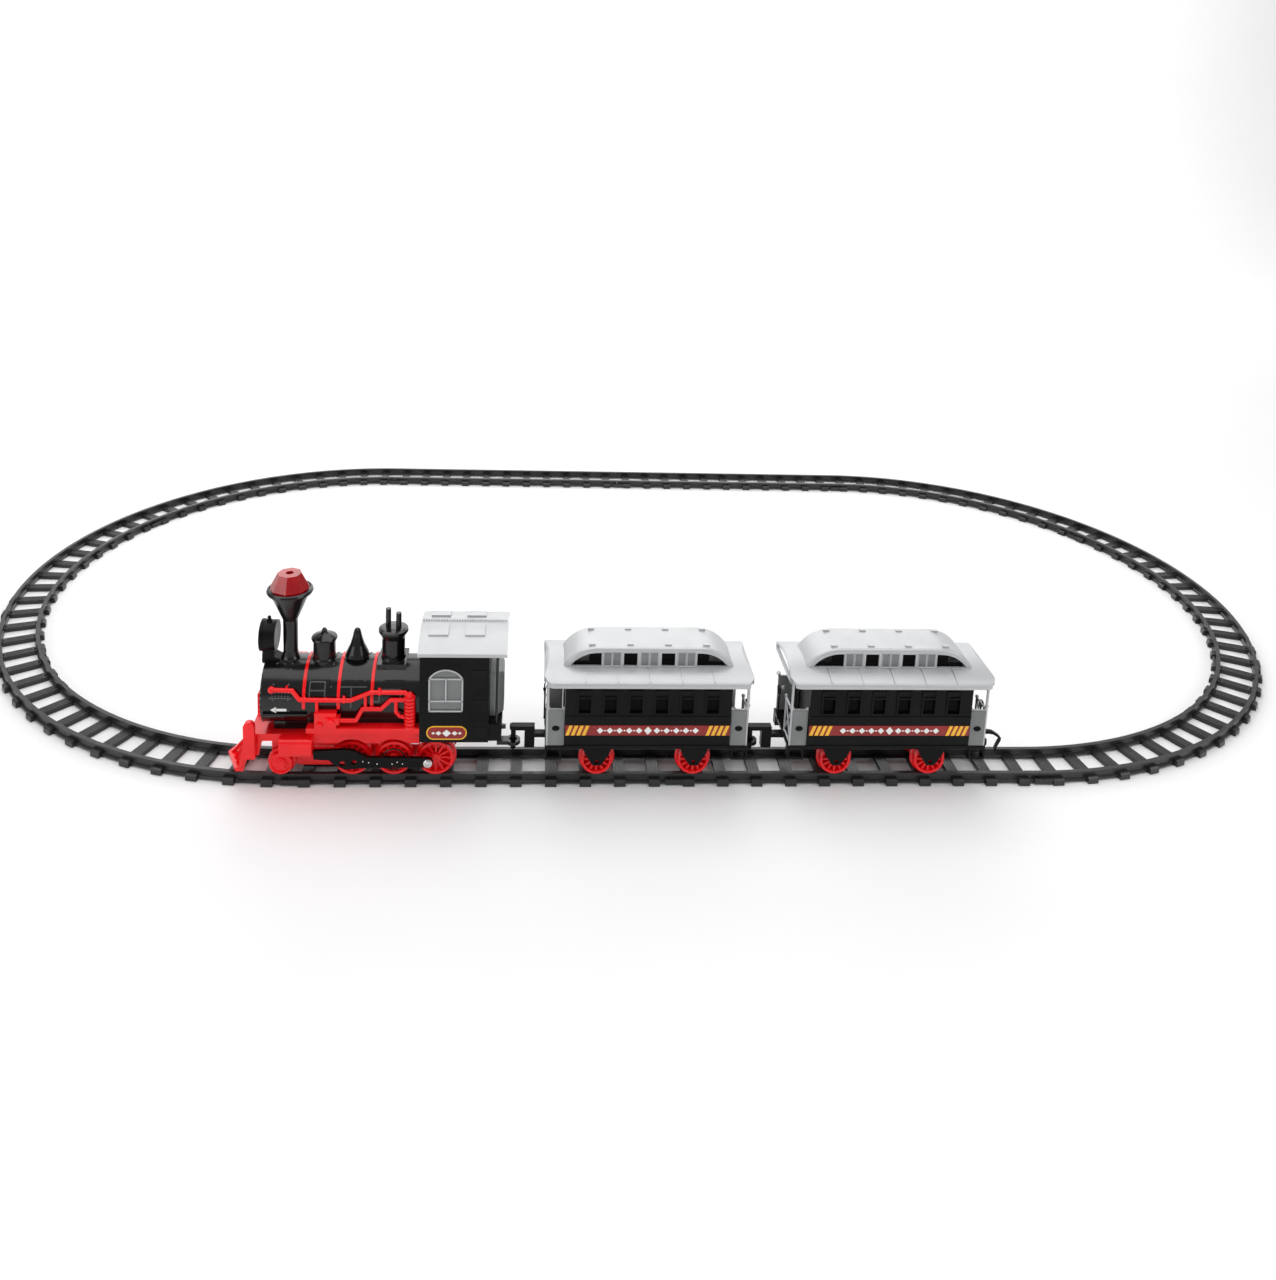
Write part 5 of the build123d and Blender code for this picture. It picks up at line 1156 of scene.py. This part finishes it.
class TRAIN_OT_stage(bpy.types.Operator):
    """Pale floor, softboxes and the camera"""

    bl_idname = "train.stage"
    bl_label = "Stage"

    def execute(self, context):
        studio = context.scene.train_studio
        clear_bench()
        bpy.ops.mesh.primitive_plane_add(size=1, location=(0, 0.2, -0.0004))
        floor = bpy.context.object
        floor.name = "studio_floor"
        floor.scale = (9.0, 6.0, 1)
        settle(floor)
        far = max(point.co.y for point in floor.data.vertices)

        def at_back(a, b):
            return a.y > far - 0.01 and b.y > far - 0.01

        pick(floor, at_back, "EDGE")
        bpy.ops.mesh.extrude_edges_move(TRANSFORM_OT_translate={"value": (0, 0, 3.5)})
        done()
        pick(floor, lambda a, b: at_back(a, b) and a.z < 0.01 and b.z < 0.01, "EDGE")
        bpy.ops.mesh.bevel(offset=1.2, segments=14, affect="EDGES")
        done()
        take(floor)
        bpy.ops.object.shade_smooth()
        finish, tree = new_finish("pale_floor")
        shader = tree.nodes["Principled BSDF"]
        mottle(tree, shader, (0.88, 0.88, 0.885, 1), 0.006, 3)
        shader.inputs["Roughness"].default_value = 0.6
        shader.inputs["Specular IOR Level"].default_value = 0.2
        floor.data.materials.append(finish)

        side = studio.side_power
        softbox("overhead_softbox", (-0.15, -0.15, 1.7), (0, -0.1, 0), (2.6, 1.8), studio.key_power)
        softbox("left_softbox", (-1.7, -1.3, 0.9), (-0.1, -0.25, 0.05), (1.2, 0.9), side)
        softbox("right_softbox", (1.6, -1.2, 1.0), (0, -0.2, 0.05), (1.2, 0.9), side)
        softbox("backdrop_softbox", (0, 1.9, 1.9), (0, 3.1, 0.3), (5.5, 1.2), studio.backdrop_power)
        softbox("back_softbox", (0, 1.7, 1.2), (0, 0, 0), (2.4, 0.9), side)

        world = bpy.data.worlds.new("room")
        context.scene.world = world
        world.use_nodes = True
        back = world.node_tree.nodes["Background"]
        back.inputs["Color"].default_value = (1, 1, 1, 1)
        back.inputs["Strength"].default_value = studio.sky

        data = bpy.data.cameras.new("camera")
        camera = bpy.data.objects.new("camera", data)
        context.scene.collection.objects.link(camera)
        data.sensor_width = 36
        data.lens = studio.lens
        data.shift_x = studio.shift_x
        data.shift_y = studio.shift_y
        data.clip_start = 0.01
        data.clip_end = 50
        heading, tilt = studio.heading, studio.tilt
        level = Vector((math.cos(heading), -math.sin(heading), 0))
        ahead = Vector((math.sin(heading) * math.cos(tilt), math.cos(heading) * math.cos(tilt),
                        -math.sin(tilt)))
        upright = level.cross(ahead)
        right = level * math.cos(studio.roll) + upright * math.sin(studio.roll)
        up = upright * math.cos(studio.roll) - level * math.sin(studio.roll)
        turn = Matrix((right, up, -ahead)).transposed()
        camera.matrix_world = Matrix.Translation(Vector(studio.stand)) @ turn.to_4x4()
        context.scene.camera = camera
        context.scene.view_settings.view_transform = "Standard"
        return {"FINISHED"}


class TRAIN_PT_trim(bpy.types.Panel):
    """Sizes, colours and buttons of the train set"""

    bl_label = "Train Set"
    bl_space_type = "VIEW_3D"
    bl_region_type = "UI"
    bl_category = "Train Set"

    def draw(self, context):
        layout = self.layout
        scene = context.scene
        for group in (scene.train_sizes, scene.train_colours, scene.train_studio):
            column = layout.column()
            for name in group.__annotations__:
                column.prop(group, name)
        for step in OPERATORS:
            layout.operator(step.bl_idname)


OPERATORS = (
    TRAIN_OT_stage,
    TRAIN_OT_finishes,
    TRAIN_OT_boiler_trim,
    TRAIN_OT_cab_trim,
    TRAIN_OT_cab_window_bars,
    TRAIN_OT_coach_trim,
    TRAIN_OT_coach_roof_trim,
    TRAIN_OT_coach_end_trim,
    TRAIN_OT_wheel_trim,
    TRAIN_OT_track_trim,
)
CLASSES = (TrimSizes, FinishColours, StudioSizes) + OPERATORS + (TRAIN_PT_trim,)


def register():
    for item in CLASSES:
        bpy.utils.register_class(item)
    bpy.types.Scene.train_sizes = bpy.props.PointerProperty(type=TrimSizes)
    bpy.types.Scene.train_colours = bpy.props.PointerProperty(type=FinishColours)
    bpy.types.Scene.train_studio = bpy.props.PointerProperty(type=StudioSizes)


def unregister():
    del bpy.types.Scene.train_studio
    del bpy.types.Scene.train_colours
    del bpy.types.Scene.train_sizes
    for item in reversed(CLASSES):
        bpy.utils.unregister_class(item)


def main():
    register()
    bpy.ops.train.stage()
    bpy.ops.train.finishes()
    bpy.ops.train.boiler_trim()
    bpy.ops.train.cab_trim()
    bpy.ops.train.coach_trim()
    bpy.ops.train.cab_window_bars()
    bpy.ops.train.coach_roof_trim()
    bpy.ops.train.coach_end_trim()
    bpy.ops.train.wheel_trim()
    bpy.ops.train.track_trim()
    clear_bench()


if __name__ == "__main__":
    main()
